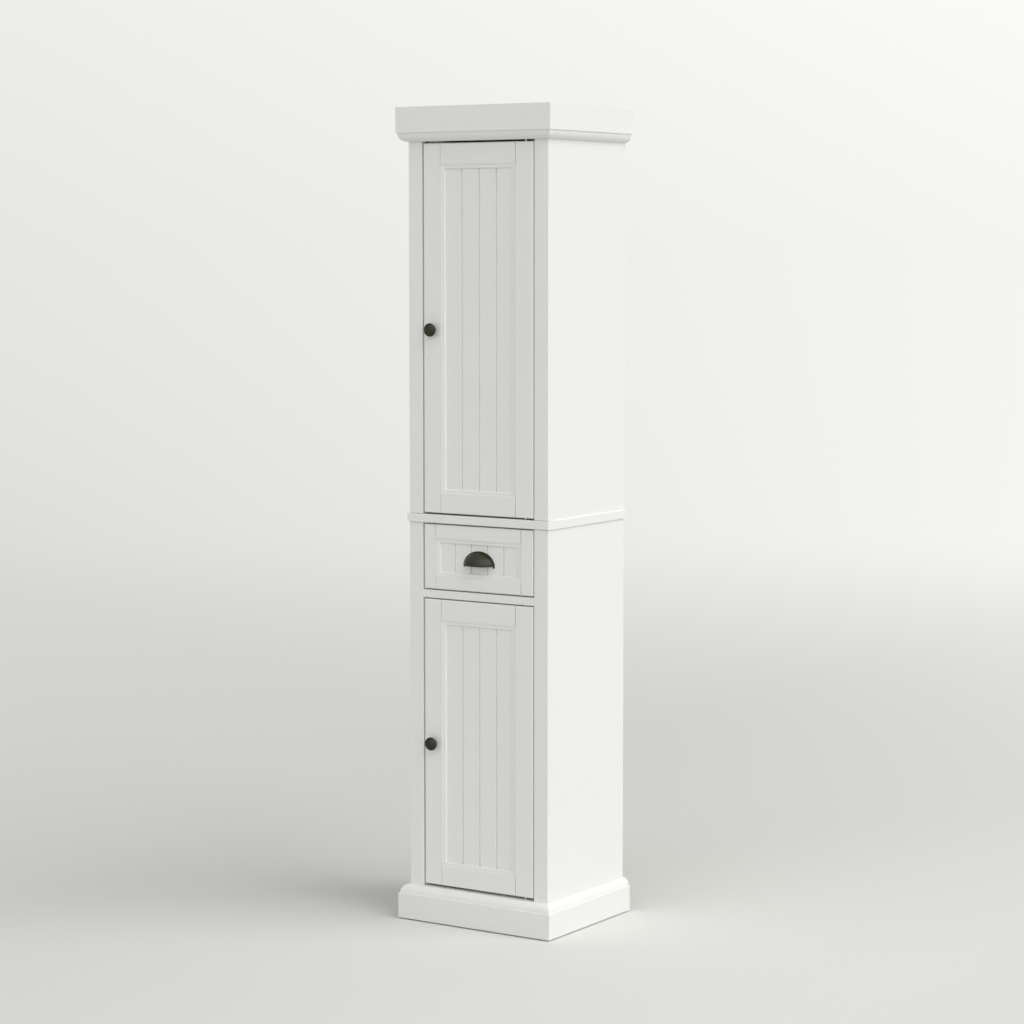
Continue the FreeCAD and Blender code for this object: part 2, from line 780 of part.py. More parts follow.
def knob_section(place):
    """Half of the knob's section; place turns a radius and a distance from the door into a point."""
    cup_end = KNOB_PROJECTION - KNOB_DOME_RISE - KNOB_RING_RISE - KNOB_RIM_HEIGHT + KNOB_RING_STEP
    rim_end = cup_end + KNOB_RIM_HEIGHT
    ring_inner = KNOB_RADIUS - KNOB_RING_WIDTH
    ring_top = rim_end + KNOB_RING_RISE
    dome_edge = ring_top - KNOB_RING_STEP
    run = KNOB_RADIUS - KNOB_NECK_RADIUS
    rise = cup_end - KNOB_NECK_END
    chord = math.hypot(run, rise)
    cup_middle = place(
        KNOB_NECK_RADIUS + run / 2 + KNOB_CUP_BULGE * rise / chord,
        KNOB_NECK_END + rise / 2 - KNOB_CUP_BULGE * run / chord)
    ring_shoulder = place(
        KNOB_RADIUS - KNOB_RING_WIDTH * (1 - math.sqrt(0.5)), rim_end + KNOB_RING_RISE * math.sqrt(0.5))
    dome_radius = (ring_inner ** 2 + KNOB_DOME_RISE ** 2) / (2 * KNOB_DOME_RISE)
    half_angle = math.asin(ring_inner / dome_radius) / 2
    dome_top = dome_edge + KNOB_DOME_RISE
    dome_middle = place(
        dome_radius * math.sin(half_angle), dome_top - dome_radius * (1 - math.cos(half_angle)))
    neck_start = KNOB_FOOT_HEIGHT + KNOB_FOOT_RADIUS - KNOB_NECK_RADIUS
    tip = place(0, dome_top)
    stem = [
        tip, place(0, 0), place(KNOB_FOOT_RADIUS, 0), place(KNOB_FOOT_RADIUS, KNOB_FOOT_HEIGHT),
        place(KNOB_NECK_RADIUS, neck_start), place(KNOB_NECK_RADIUS, KNOB_NECK_END)]
    cup = Part.Arc(stem[-1], cup_middle, place(KNOB_RADIUS, cup_end)).toShape()
    rim = Part.makePolygon([place(KNOB_RADIUS, cup_end), place(KNOB_RADIUS, rim_end)])
    ring = Part.Arc(place(KNOB_RADIUS, rim_end), ring_shoulder, place(ring_inner, ring_top)).toShape()
    step = Part.makePolygon([place(ring_inner, ring_top), place(ring_inner, dome_edge)])
    dome = Part.Arc(place(ring_inner, dome_edge), dome_middle, tip).toShape()
    edges = Part.makePolygon(stem).Edges + [cup] + rim.Edges + [ring] + step.Edges + [dome]
    return Part.Face(Part.Wire(edges))


def knob(door):
    """A round mushroom knob with a ring round its face, and the screw that holds it from behind."""
    level = knob_level(door)
    section = knob_section(lambda radius, out: at(knob_x + radius, front - out, level))
    turned = section.revolve(at(knob_x, front, level), at(0, 1, 0), 360)
    fixing = screw(at(knob_x, frame_back, level), at(0, -1, 0), FRONT_THICKNESS + SCREW_BITE)
    return Part.makeCompound([turned.cut(fixing).Solids[0], fixing])


def strike_plate(door):
    """A thin steel plate on the back of the door, opposite its magnetic catch."""
    middle = -front_half + DOOR_STILE / 2
    high = door.high - STRIKE_DROP
    plate = block(
        (middle - STRIKE_LENGTH / 2, middle + STRIKE_LENGTH / 2), (frame_back, frame_back + STRIKE_THICKNESS),
        (high - STRIKE_HEIGHT, high))
    hole = post(
        STRIKE_HOLE_RADIUS, at(middle, frame_back, high - STRIKE_HEIGHT / 2), at(0, 1, 0), STRIKE_THICKNESS)
    return plate.cut(hole)


# ---------------------------------------------------------------- cup pull

def pull_dome(inset):
    """A quarter of an ellipsoid that stands on the panel, above the pull's lip and inside its flange.

    The ball is turned before it is scaled, so that its poles and its seam lie outside the quarter.
    """
    scale = FreeCAD.Matrix()
    scale.scale(
        PULL_WIDTH / 2 - PULL_FLANGE - inset, PULL_PROJECTION - inset,
        PULL_HEIGHT - PULL_EAR_DROP - PULL_FLANGE - inset)
    ball = Part.makeSphere(1.0)
    ball.rotate(at(0, 0, 0), at(0, 0, 1), 90)
    ball.rotate(at(0, 0, 0), at(1, 0, 0), -45)
    ball = ball.transformGeometry(scale)
    ball.translate(at(0, panel_front, pull_lip))
    return ball.common(block(
        (-PULL_WIDTH, PULL_WIDTH), (panel_front - PULL_PROJECTION, panel_front),
        (pull_lip, pull_lip + PULL_HEIGHT))).Solids[0]


def pull_rim():
    """A half ellipse lying on the panel, above the pull's lip."""
    outline = Part.Ellipse(at(0, 0, 0), PULL_WIDTH / 2, PULL_HEIGHT - PULL_EAR_DROP).toShape()
    plate = Part.Face(Part.Wire(outline)).extrude(at(0, 0, PULL_FLANGE_THICKNESS))
    plate.rotate(at(0, 0, 0), at(1, 0, 0), 90)
    plate.translate(at(0, panel_front, pull_lip))
    return plate.common(block(
        (-PULL_WIDTH, PULL_WIDTH), (panel_front - PULL_PROJECTION, panel_front),
        (pull_lip, pull_lip + PULL_HEIGHT))).Solids[0]


def pull_ear():
    """The rounded end of the flange, which drops below the lip."""
    x = PULL_WIDTH / 2 - PULL_EAR_RADIUS
    level = pull_low + PULL_EAR_RADIUS
    round_end = post(PULL_EAR_RADIUS, at(x, panel_front, level), at(0, -1, 0), PULL_FLANGE_THICKNESS)
    neck = block(
        (x - PULL_EAR_RADIUS, x + PULL_EAR_RADIUS), (panel_front - PULL_FLANGE_THICKNESS, panel_front),
        (level, pull_lip + PULL_EAR_RADIUS / 2))
    return fused([round_end, neck])


def pull_screw_places():
    level = pull_lip + PULL_POST_RISE
    return [at(side * PULL_SCREW_SPACING / 2, 0, level) for side in (-1, 1)]


def cup_pull():
    """A hollow quarter dome with a flange round it, open below, and two posts for its screws."""
    hollow = pull_dome(PULL_WALL)
    flange = pull_rim().cut(hollow)
    ear = pull_ear()
    shell = pull_dome(0).cut(hollow)
    posts = [
        post(PULL_POST_RADIUS, place + at(0, panel_front, 0), at(0, -1, 0), PULL_POST_LENGTH)
        for place in pull_screw_places()]
    body = shell.multiFuse([flange, ear, mirrored(ear)] + posts)
    return body.cut(pull_screw_list()).Solids[0]


def pull_screw_list():
    start = frame_back + BOX_BOARD
    length = start - panel_front + SCREW_BITE
    return [screw(place + at(0, start, 0), at(0, -1, 0), length) for place in pull_screw_places()]


def pull_holes():
    start = frame_back + BOX_BOARD
    return [
        post(SCREW_RADIUS + SCREW_CLEARANCE, place + at(0, start, 0), at(0, -1, 0), start - panel_front)
        for place in pull_screw_places()]


# ---------------------------------------------------------------- drawer box

def box_floor_cut():
    """The room that the drawer's bottom takes in the grooves of the four sides."""
    reach = box_inner + BOX_GROOVE
    return block(
        (-reach, reach), (frame_back + BOX_BOARD - BOX_GROOVE, box_back - BOX_BOARD + BOX_GROOVE),
        (box_bottom_low, box_bottom_low + BOX_BOTTOM))


def box_side():
    side = block((box_inner, box_half), (frame_back, box_back), (box_low, box_top))
    return eased(side, CARCASE_EASE, [{"z": box_top, "x": box_inner}, {"z": box_top, "x": box_half}]).cut(
        box_floor_cut())


def box_front():
    board = block((-box_inner, box_inner), (frame_back, frame_back + BOX_BOARD), (box_low, box_top))
    return board.cut([box_floor_cut()] + pull_holes())


def box_end():
    board = block((-box_inner, box_inner), (box_back - BOX_BOARD, box_back), (box_low, box_top))
    return board.cut(box_floor_cut())


def box_bottom():
    tongue = BOX_GROOVE - BOX_GROOVE_PLAY
    reach = box_inner + tongue
    return block(
        (-reach, reach), (frame_back + BOX_BOARD - tongue, box_back - BOX_BOARD + tongue),
        (box_bottom_low, box_bottom_low + BOX_BOTTOM))


# ---------------------------------------------------------------- runners

def runner_spacer():
    """The packing between the side and the runner, which brings the runner level with the stile."""
    return block(
        (stile_inner, side_inner), (frame_back, runner_back),
        (box_low - SPACER_MARGIN, box_low + RUNNER_HEIGHT + SPACER_MARGIN))


def cabinet_runner():
    """A folded channel, open towards the drawer, with a riveted axle for its roller at the front."""
    web = stile_inner - RUNNER_GAUGE
    lip = stile_inner - RUNNER_FLANGE
    low, high = box_low, box_low + RUNNER_HEIGHT
    corners = [
        (stile_inner, low), (stile_inner, high), (lip, high), (lip, high - RUNNER_GAUGE),
        (web, high - RUNNER_GAUGE), (web, low + RUNNER_GAUGE), (lip, low + RUNNER_GAUGE), (lip, low)]
    channel = prism([at(x, runner_front, z) for x, z in corners], at(0, runner_back - runner_front, 0))
    roller_span = ROLLER_WIDTH + 2 * ROLLER_SIDE_PLAY
    axle_start = at(stile_inner, cabinet_roller_y, cabinet_roller_z)
    axle = post(AXLE_RADIUS, axle_start, at(-1, 0, 0), RUNNER_GAUGE + roller_span + RIVET_HEAD)
    head_start = axle_start - at(RUNNER_GAUGE + roller_span, 0, 0)
    head = post(RIVET_RADIUS, head_start, at(-1, 0, 0), RIVET_HEAD)
    return fused([channel, axle, head])


def drawer_runner():
    """A folded strip under the drawer's side, whose lip runs over the cabinet's roller."""
    web = box_half + RUNNER_GAUGE
    foot = box_half - RUNNER_FLANGE
    lip = box_half + RUNNER_LIP
    lip_top = drawer_lip_low + RUNNER_GAUGE
    corners = [
        (foot, box_low - RUNNER_GAUGE), (web, box_low - RUNNER_GAUGE), (web, drawer_lip_low),
        (lip, drawer_lip_low), (lip, lip_top), (box_half, lip_top), (box_half, box_low), (foot, box_low)]
    strip = prism([at(x, frame_back, z) for x, z in corners], at(0, BOX_LENGTH, 0))
    shoulder_start = at(box_half, drawer_roller_y, drawer_roller_z)
    shoulder_length = RUNNER_GAUGE + ROLLER_SHOULDER
    roller_span = ROLLER_WIDTH + 2 * ROLLER_SIDE_PLAY
    shoulder = post(RIVET_RADIUS, shoulder_start, at(1, 0, 0), shoulder_length)
    axle = post(AXLE_RADIUS, shoulder_start, at(1, 0, 0), shoulder_length + roller_span + RIVET_HEAD)
    head_start = shoulder_start + at(shoulder_length + roller_span, 0, 0)
    head = post(RIVET_RADIUS, head_start, at(1, 0, 0), RIVET_HEAD)
    return fused([strip, shoulder, axle, head])


def roller(low_x, y, z):
    """A plain roller with chamfered rims, bored to run on its axle."""
    wheel = post(ROLLER_RADIUS, at(low_x, y, z), at(1, 0, 0), ROLLER_WIDTH)
    rims = [edge for edge in wheel.Edges if len(edge.Vertexes) == 1]
    wheel = wheel.makeChamfer(ROLLER_CHAMFER, rims)
    bore = post(AXLE_RADIUS + ROLLER_BORE_CLEARANCE, at(low_x, y, z), at(1, 0, 0), ROLLER_WIDTH)
    return wheel.cut(bore).Solids[0]


def cabinet_rollers():
    low_x = stile_inner - RUNNER_GAUGE - ROLLER_SIDE_PLAY - ROLLER_WIDTH
    return pair(roller(low_x, cabinet_roller_y, cabinet_roller_z))


def drawer_rollers():
    low_x = box_half + RUNNER_GAUGE + ROLLER_SHOULDER + ROLLER_SIDE_PLAY
    return pair(roller(low_x, drawer_roller_y, drawer_roller_z))


# ---------------------------------------------------------------- the nodes

def export_carcase():
    for name, shape in (("lower_side", lower_side()), ("upper_side", upper_side())):
        export(name + "_right", shape)
        export(name + "_left", mirrored(shape))
    for name, low, high in (("lower_stile", plinth_low, waist_low), ("upper_stile", waist_top, cap_low)):
        stile = face_stile(low, high)
        export(name + "_right", stile)
        export(name + "_left", mirrored(stile))
    export("waist_board", waist_board())
    export("drawer_divider", drawer_divider())
    export("bottom_panel", bottom_panel())
    export("ceiling_panel", ceiling_panel())
    export("top_cap", top_cap())
    export("upper_back_panel", back_panel(waist_top, cap_low).cut(wall_screw_holes()))
    export("lower_back_panel", back_panel(bottom_low, waist_low))
    export("wall_fixing_rail", wall_fixing_rail())


def export_mouldings():
    plinth_side = moulded_side(plinth_level)
    crown_side = moulded_side(crown_level)
    export("plinth_front", plinth_front())
    export("plinth_right", plinth_side)
    export("plinth_left", mirrored(plinth_side))
    export("crown_front", moulded_front(crown_level))
    export("crown_right", crown_side)
    export("crown_left", mirrored(crown_side))


def export_fittings():
    export("floor_glides", floor_glides())
    export("pivot_bushes", pivot_bushes())
    export("cam_fittings", cam_fittings())
    export("magnetic_catches", magnetic_catches())
    export("upper_shelves", Part.makeCompound([shelf(level) for level in upper_shelf_levels]))
    export("lower_shelf", shelf(lower_shelf_levels[0]))
    export("shelf_pins", shelf_pins())
    export("runner_spacers", pair(runner_spacer()))
    export("cabinet_runners", pair(cabinet_runner()))
    export("cabinet_rollers", cabinet_rollers())


def export_door(name, door, floor, roof):
    export(name + "_hinge_stile", hinge_stile(door))
    export(name + "_knob_stile", knob_stile(door))
    export(name + "_rails", frame_rails(door))
    export(name + "_panel", inset_panel(door))
    export(name + "_bead", panel_bead(door))
    export(name + "_pivot_pins", pivot_pins(door, floor, roof))
    export(name + "_knob", knob(door))
    export(name + "_strike_plate", strike_plate(door))


def export_drawer():
    export("drawer_front_stiles", pair(frame_stile(drawer)))
    export("drawer_front_rails", frame_rails(drawer))
    export("drawer_front_panel", inset_panel(drawer).cut(pull_holes()))
    export("drawer_front_bead", panel_bead(drawer))
    export("drawer_cup_pull", cup_pull())
    export("drawer_pull_screws", Part.makeCompound(pull_screw_list()))
    export("drawer_box_sides", pair(box_side()))
    export("drawer_box_front", box_front())
    export("drawer_box_back", box_end())
    export("drawer_box_bottom", box_bottom())
    export("drawer_runners", pair(drawer_runner()))
    export("drawer_rollers", drawer_rollers())


export_carcase()
export_mouldings()
export_fittings()
export_door("upper_door", upper_door, waist_top, crown_low)
export_door("lower_door", lower_door, plinth_top, divider_low)
export_drawer()
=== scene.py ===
import json
from math import radians

import bpy
import numpy as np
from bpy.props import FloatProperty, FloatVectorProperty, IntProperty, PointerProperty
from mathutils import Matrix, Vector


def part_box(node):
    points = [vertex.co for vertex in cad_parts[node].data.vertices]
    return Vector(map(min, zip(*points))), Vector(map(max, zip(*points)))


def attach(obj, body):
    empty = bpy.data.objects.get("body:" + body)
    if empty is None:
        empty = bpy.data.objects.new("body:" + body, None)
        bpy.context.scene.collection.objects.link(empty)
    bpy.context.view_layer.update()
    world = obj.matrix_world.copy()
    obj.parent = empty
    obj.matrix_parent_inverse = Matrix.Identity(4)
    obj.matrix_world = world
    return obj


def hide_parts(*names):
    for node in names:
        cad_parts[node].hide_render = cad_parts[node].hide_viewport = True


bl_info = {
    "name": "Tall Bathroom Cabinet",
    "version": (1, 0, 0),
    "blender": (4, 5, 0),
    "location": "3D View > Sidebar > Cabinet",
    "description": "Dresses the tall bathroom cabinet: painted boards, bronze hardware, plain stage",
    "category": "Object",
}

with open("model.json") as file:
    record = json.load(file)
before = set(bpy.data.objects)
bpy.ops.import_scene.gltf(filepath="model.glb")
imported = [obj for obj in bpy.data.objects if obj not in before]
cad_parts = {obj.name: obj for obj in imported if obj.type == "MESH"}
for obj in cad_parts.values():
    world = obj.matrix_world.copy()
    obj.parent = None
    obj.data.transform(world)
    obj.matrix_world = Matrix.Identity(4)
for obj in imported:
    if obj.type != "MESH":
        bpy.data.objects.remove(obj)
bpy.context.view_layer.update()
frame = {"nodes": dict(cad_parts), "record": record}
SLOTS = {part["node"]: part["material_slot"] for part in frame["record"]["subparts"]}
MM = 0.001
# The rounding of edges that only draw a fine line, and the radius that stands for none.
FINE_EASE = 0.12 * MM
TINY_RADIUS = 0.02 * MM
# The least that 1 - m.n counts as where two edges meet, so that a nearly straight corner stays in place.
LEAST_BEND = 0.05
# Layers of the plywood, light and dark together.
LAYERS_PER_METRE = 416.0
# For a bar or a turned piece along an axis: which of (across, up, along) becomes x, y and z.
ALONG = {"x": (2, 0, 1), "y": (0, 2, 1), "z": (0, 1, 2)}
DOORS = ("upper_door", "lower_door")
# Each front's name, the body that it rides on and the CAD nodes of its stiles.
FRONTS = (
    ("upper_door", "upper_door", ("upper_door_knob_stile", "upper_door_hinge_stile")),
    ("lower_door", "lower_door", ("lower_door_knob_stile", "lower_door_hinge_stile")),
    ("drawer_front", "drawer", ("drawer_front_stiles",)),
)
# Each lamp's angle above the floor, and its angle forward from the cabinet's right side, in degrees.
KEY_ANGLES = (42, -4)
LOW_ANGLES = (8, -6)
FILL_ANGLES = (22, 66)
# The camera's place in metres, and its angles below the horizon and round from straight ahead, in degrees.
CAMERA_PLACE = (3.4652, -5.3345, 1.5246)
CAMERA_ANGLES = (5.381, 33.06)
# The height in metres that the far floor's background colour is worked out from.
EYE_HEIGHT = 0.5
# The background is painted from shade to light over this range of a direction's product with this one.
LIGHTWARD = (0.22, 0.14, 0.50)
LIGHTWARD_RANGE = (-0.13, 0.12)
# Distances from the cabinet in metres between which the floor fades into the background.
FLOOR_FADE = (1.2, 9.0)
# How far the floor reaches and how far the camera sees, in metres.
FLOOR_RADIUS, SIGHT = 900.0, 1200.0


# ---------------------------------------------------------------- settings a user can change

def length(name, description, millimetres):
    """A length setting whose default is given in millimetres."""
    return FloatProperty(
        name=name, description=description, default=millimetres * MM, min=0.0, unit="LENGTH",
        subtype="DISTANCE")


def colour(name, description, red, green, blue):
    """A colour setting in linear values."""
    return FloatVectorProperty(
        name=name, description=description, default=(red, green, blue), min=0.0, max=1.0, size=3,
        subtype="COLOR")


def strength(name, description, default):
    """The strength of a lamp."""
    return FloatProperty(name=name, description=description, default=default, min=0.0)


def angle(name, description, degrees):
    """An angle setting whose default is given in degrees."""
    return FloatProperty(
        name=name, description=description, default=radians(degrees), min=0.0, max=radians(180),
        unit="ROTATION", subtype="ANGLE")


class CABINET_PG_boards(bpy.types.PropertyGroup):
    """Edges of the carcase boards and the moulding's section."""

    board_ease: length("Board ease", "Rounding of the carcase boards' edges", 0.6)
    stile_ease: length("Stile ease", "Rounding of the face stiles' front edges", 1.0)
    waist_ease: length("Waist ease", "Rounding of the waist board's front edges", 1.8)
    waist_side_ease: length("Waist side ease", "Rounding of the waist board's side edges", 0.7)
    shelf_ease: length("Shelf ease", "Rounding of the shelves' front edges", 1.0)
    stile_end_ease: length("Stile end ease", "Rounding of the front edges of the face stiles' ends", 0.7)
    stile_end_gap: length("Stile end gap", "Fine gap left between a face stile's end and the next board", 0.7)
    joint_ease: length("Joint ease", "Rounding where two boards meet, which draws the fine joint lines", 0.3)
    moulding_face: length("Moulding face", "Height of the moulding's plain face", 57.5)
    moulding_ledge: length("Moulding ledge", "Depth of the ledge between the plain face and the curve", 3.0)
    moulding_bulge: length("Moulding bulge", "How far the moulding's curve stands out from its chord", 4.2)
    moulding_flat: length("Moulding flat", "Width of the flat where the curve meets the carcase", 2.0)
    moulding_ease: length("Moulding ease", "Rounding of the moulding's corners", 0.9)
    moulding_quirk: length("Moulding quirk", "Width of the cut between the moulding and the side", 0.9)


class CABINET_PG_fronts(bpy.types.PropertyGroup):
    """Doors and drawer front."""

    outer_ease: length("Outer ease", "Rounding round a door or drawer front", 3.6)
    seam_width: length("Seam width", "Width that each side gives to a groove between rail and stile", 0.8)
    seam_depth: length("Seam depth", "Depth of the groove between a rail and a stile", 3.2)
    door_board: length("Door board", "Width of one board between the grooves of a door panel", 45.3)
    drawer_board: length("Drawer board", "Width of one board between the grooves of the drawer panel", 43.1)
    groove_width: length("Groove width", "Width of a panel groove", 3.8)
    groove_depth: length("Groove depth", "Depth of a panel groove", 4.6)
    bead_width: length("Bead width", "Width of the bead round a panel", 11.0)
    bead_lip_width: length("Bead lip width", "Width of the bead's outer step", 3.2)
    bead_lip_depth: length("Bead lip depth", "How far the outer step lies behind the frame's face", 0.7)
    bead_slope: length("Bead slope", "Width of the slope from the outer step to the flat", 1.2)
    bead_flat_width: length("Bead flat width", "Width of the bead's flat", 4.0)
    bead_flat_depth: length("Bead flat depth", "How far the flat lies behind the frame's face", 2.0)


class CABINET_PG_hardware(bpy.types.PropertyGroup):
    """Knobs, cup pull, screws, pins, rollers and glides."""

    knob_foot_radius: length("Knob foot radius", "Radius of the knob's foot on the door", 7.0)
    knob_foot_height: length("Knob foot height", "Height of the foot's straight edge", 2.0)
    knob_neck_radius: length("Knob neck radius", "Radius of the knob's neck", 5.0)
    knob_neck_end: length("Knob neck end", "Where the neck starts to swell, measured from the door", 6.5)
    knob_rim: length("Knob rim", "Height of the knob's rim", 2.4)
    knob_ring_width: length("Knob ring width", "Width of the ring round the knob's face", 3.0)
    knob_ring_rise: length("Knob ring rise", "How far the ring stands above the edge of the dome", 0.8)
    knob_dome_rise: length("Knob dome rise", "Height of the knob's low dome", 2.2)
    pull_wall: length("Pull wall", "Thickness of the cup pull's wall", 2.0)
    pull_flange: length("Pull flange", "Width of the flange round the cup pull", 3.0)
    pull_ear_drop: length("Pull ear drop", "How far the flange's ends hang below the lip", 3.5)
    pull_ear_radius: length("Pull ear radius", "Radius of the flange's rounded ends", 2.6)
    post_radius: length("Post radius", "Radius of the cup pull's screw posts", 3.5)
    post_length: length("Post length", "Length of the posts in front of the panel", 8.8)
    post_foot_radius: length("Post foot radius", "Radius of the posts where they stand on the panel", 5.0)
    screw_radius: length("Screw radius", "Radius of a screw's shank", 2.0)
    screw_head_height: length("Screw head height", "Height of a screw's pan head", 2.5)
    pin_ease: length("Pin ease", "Rounding of the ends of pins", 0.5)
    pin_seat: length("Pin seat", "Length of a pivot pin inside its stile", 14.0)
    shelf_pin_radius: length("Shelf pin radius", "Radius of the part in the side panel", 2.5)
    shelf_pin_head: length("Shelf pin head", "Radius of the part under the shelf", 3.5)
    shelf_pin_reach: length("Shelf pin reach", "Length of each part", 9.0)
    shelf_pin_inset: length("Shelf pin inset", "From the shelf's front and back edges to the pins", 37.0)
    glide_radius: length("Glide radius", "Radius of a floor glide", 7.5)
    glide_height: length("Glide height", "Height of a floor glide", 2.5)
    glide_back_inset: length("Glide back inset", "From the side's outer face to the rear glides' middle", 8.0)
    roller_width: length("Roller width", "Width of a runner's roller", 6.0)
    roller_bore: length("Roller bore", "Radius of a roller's bore", 2.05)
    roller_hub: length("Roller hub", "Radius of a roller's hub", 3.6)
    roller_web: length("Roller web", "Radius of the dished ring round the hub", 6.2)
    roller_dish: length("Roller dish", "Depth of the dished ring", 0.9)
    turned_sides: IntProperty(
        name="Turned sides", description="Sides of a turned piece", default=48, min=12, max=128)


class CABINET_PG_finishes(bpy.types.PropertyGroup):
    """Colours of the nine finishes."""

    white_paint: colour("White paint", "Satin paint on the boards and fronts", 0.86, 0.86, 0.84)
    white_interior: colour("White interior", "Matt coated board of the shelves", 0.88, 0.88, 0.86)
    white_back_board: colour("White back board", "White face of the hardboard backs", 0.84, 0.84, 0.81)
    birch_plywood: colour("Birch plywood", "Varnished plywood of the drawer box", 0.72, 0.58, 0.40)
    dark_bronze: colour("Dark bronze", "Rubbed bronze of the knobs and the cup pull", 0.036, 0.036, 0.025)
    zinc_plated_steel: colour("Zinc plated steel", "Runners, pins and screws", 0.62, 0.63, 0.65)
    nylon: colour("Nylon", "Rollers and pivot bushes", 0.85, 0.85, 0.82)
    white_plastic: colour("White plastic", "Housings of the magnetic catches", 0.85, 0.85, 0.84)
    glide_plastic: colour("Glide plastic", "Floor glides", 0.08, 0.08, 0.08)


class CABINET_PG_stage(bpy.types.PropertyGroup):
    """Floor, background, lamps and camera."""

    # The floor is seen with painted shade away from the lamp and painted light towards it; its bounce colour
    # is plain.
    floor_painted_shade: colour("Floor, dark side", "The floor as it is seen, away from the lamp", 0.72, 0.725, 0.695)
    floor_painted_light: colour("Floor, light side", "The floor as it is seen, towards the lamp", 0.83, 0.835, 0.80)
    floor_bounce: colour("Floor bounce", "The floor as it lights the cabinet", 0.63, 0.63, 0.62)
    # The background is seen with painted shade away from the lamp and painted light towards it and up.
    background_painted_shade: colour("Background, dark side", "Background far from the lamp", 0.695, 0.702, 0.663)
    background_painted_light: colour("Background, light side", "Background towards the lamp and up", 1.0, 1.0, 0.985)
    sky: colour("Soft light", "Colour of the even light from all round", 0.40, 0.40, 0.396)
    key_strength: strength("Key strength", "Strength of the soft lamp on the right", 1.6)
    low_strength: strength("Low strength", "Strength of the soft lamp low on the right", 0.22)
    fill_strength: strength("Fill strength", "Strength of the soft lamp in front", 1.04)
    key_spread: angle("Key spread", "How wide the right-hand lamp looks from the cabinet", 52)
    low_spread: angle("Low spread", "How wide the low lamp looks from the cabinet", 36)
    fill_spread: angle("Fill spread", "How wide the front lamp looks from the cabinet", 80)
    lens: FloatProperty(
        name="Lens", description="Focal length of the camera in millimetres", default=99.5, min=10.0,
        max=400.0)


# ---------------------------------------------------------------- surfaces

def curve(start, control, end, count):
    """Points of a parabola, (1-t)^2 start + 2t(1-t) control + t^2 end, with t evenly from 0 to 1."""
    t = np.linspace(0.0, 1.0, count)[:, None]
    start, control, end = (np.asarray(point, float) for point in (start, control, end))
    return (1 - t) ** 2 * start + 2 * t * (1 - t) * control + t ** 2 * end


def outlines(corners, radii, eases, insets, arc):
    """Closed outlines with rounded corners, one for each row of insets, and each point's own ease.

    Edge k runs from corner k to the next, anticlockwise, and moves inwards by its inset. With m and n the
    inward normals of the edges before and after a corner, and d and e their insets, the corner moves by
    (d+e)/2 (m+n)/(1+m.n) + (d-e)/2 (m-n)/(1-m.n), where 1-m.n is kept from nought on a nearly straight edge.
    The corner is then rounded about the centre of its radius, by turning evenly from m to n. The radius
    shrinks by the inset on an outward corner and grows on an inward one.
    """
    corners, radii = np.asarray(corners, float), np.asarray(radii, float)
    ahead = np.roll(corners, -1, 0) - corners
    ahead /= np.linalg.norm(ahead, axis=1)[:, None]
    after = np.stack([-ahead[:, 1], ahead[:, 0]], 1)
    before = np.roll(after, 1, 0)
    cosine = (before * after).sum(1)
    turn = np.arctan2(before[:, 0] * after[:, 1] - before[:, 1] * after[:, 0], cosine)
    outward = np.where(turn >= 0, 1.0, -1.0)
    inset_before, inset_after = np.roll(insets, 1, -1), insets
    bisector = (before + after) / (1 + cosine)[:, None]
    split = (before - after) / np.maximum(1 - cosine, LEAST_BEND)[:, None]
    moved = (
        corners + (inset_before + inset_after)[..., None] / 2 * bisector
        + (inset_before - inset_after)[..., None] / 2 * split)
    shrunk = np.maximum(radii - outward * np.maximum(inset_before, inset_after), TINY_RADIUS)
    rounded = radii > 0
    counts = np.where(rounded, arc + 1, 1)
    index = np.repeat(np.arange(len(corners)), counts)
    place = np.arange(len(index)) - np.repeat(np.cumsum(counts) - counts, counts)
    share = np.where(rounded[index], place / arc, 0.5)
    angle = np.arctan2(before[index, 1], before[index, 0]) + share * turn[index]
    normal = np.stack([np.cos(angle), np.sin(angle)], 1)
    reach = np.where(rounded, outward * shrunk, 0.0)[:, index, None]
    ease = (1 - share) * np.roll(eases, 1)[index] + share * np.asarray(eases)[index]
    return moved[:, index] + reach * (bisector[index] - normal), ease


def eased_bar(corners, radii, eases, low, high, along, turn=4):
    """Rings of a bar: an outline carried in a straight line, with every edge of its two ends rounded.

    At an angle t from 0 to 90 degrees a ring stands in from its end by ease (1 - cos t) and has its edges
    moved in by ease (1 - sin t). An end may be a level or a function of the outline's two coordinates, as a
    mitre is.
    """
    eases = np.broadcast_to(np.asarray(eases, float), (len(corners),))
    quarter = np.linspace(0.0, np.pi / 2, turn + 1)
    angles = np.concatenate([quarter, quarter[::-1]])
    section, ease = outlines(corners, radii, eases, (1 - np.sin(angles))[:, None] * eases, 4)
    p, q = section[..., 0], section[..., 1]
    stand = (1 - np.cos(angles))[:, None] * ease
    first = (np.arange(len(angles)) <= turn)[:, None]
    low_level = low(p, q) if callable(low) else low
    high_level = high(p, q) if callable(high) else high
    level = np.where(first, low_level + stand, high_level - stand)
    return np.stack([p, q, level], -1)[..., ALONG[along]]


def plain_board(low, high, radii, eases):
    """Rings of a board between its lowest and highest corner.

    The upright edges come anticlockwise from the front left one, and the edges of each end from the front.
    """
    corners = [(low[0], low[1]), (high[0], low[1]), (high[0], high[1]), (low[0], high[1])]
    return eased_bar(corners, radii, eases, low[2], high[2], "z")


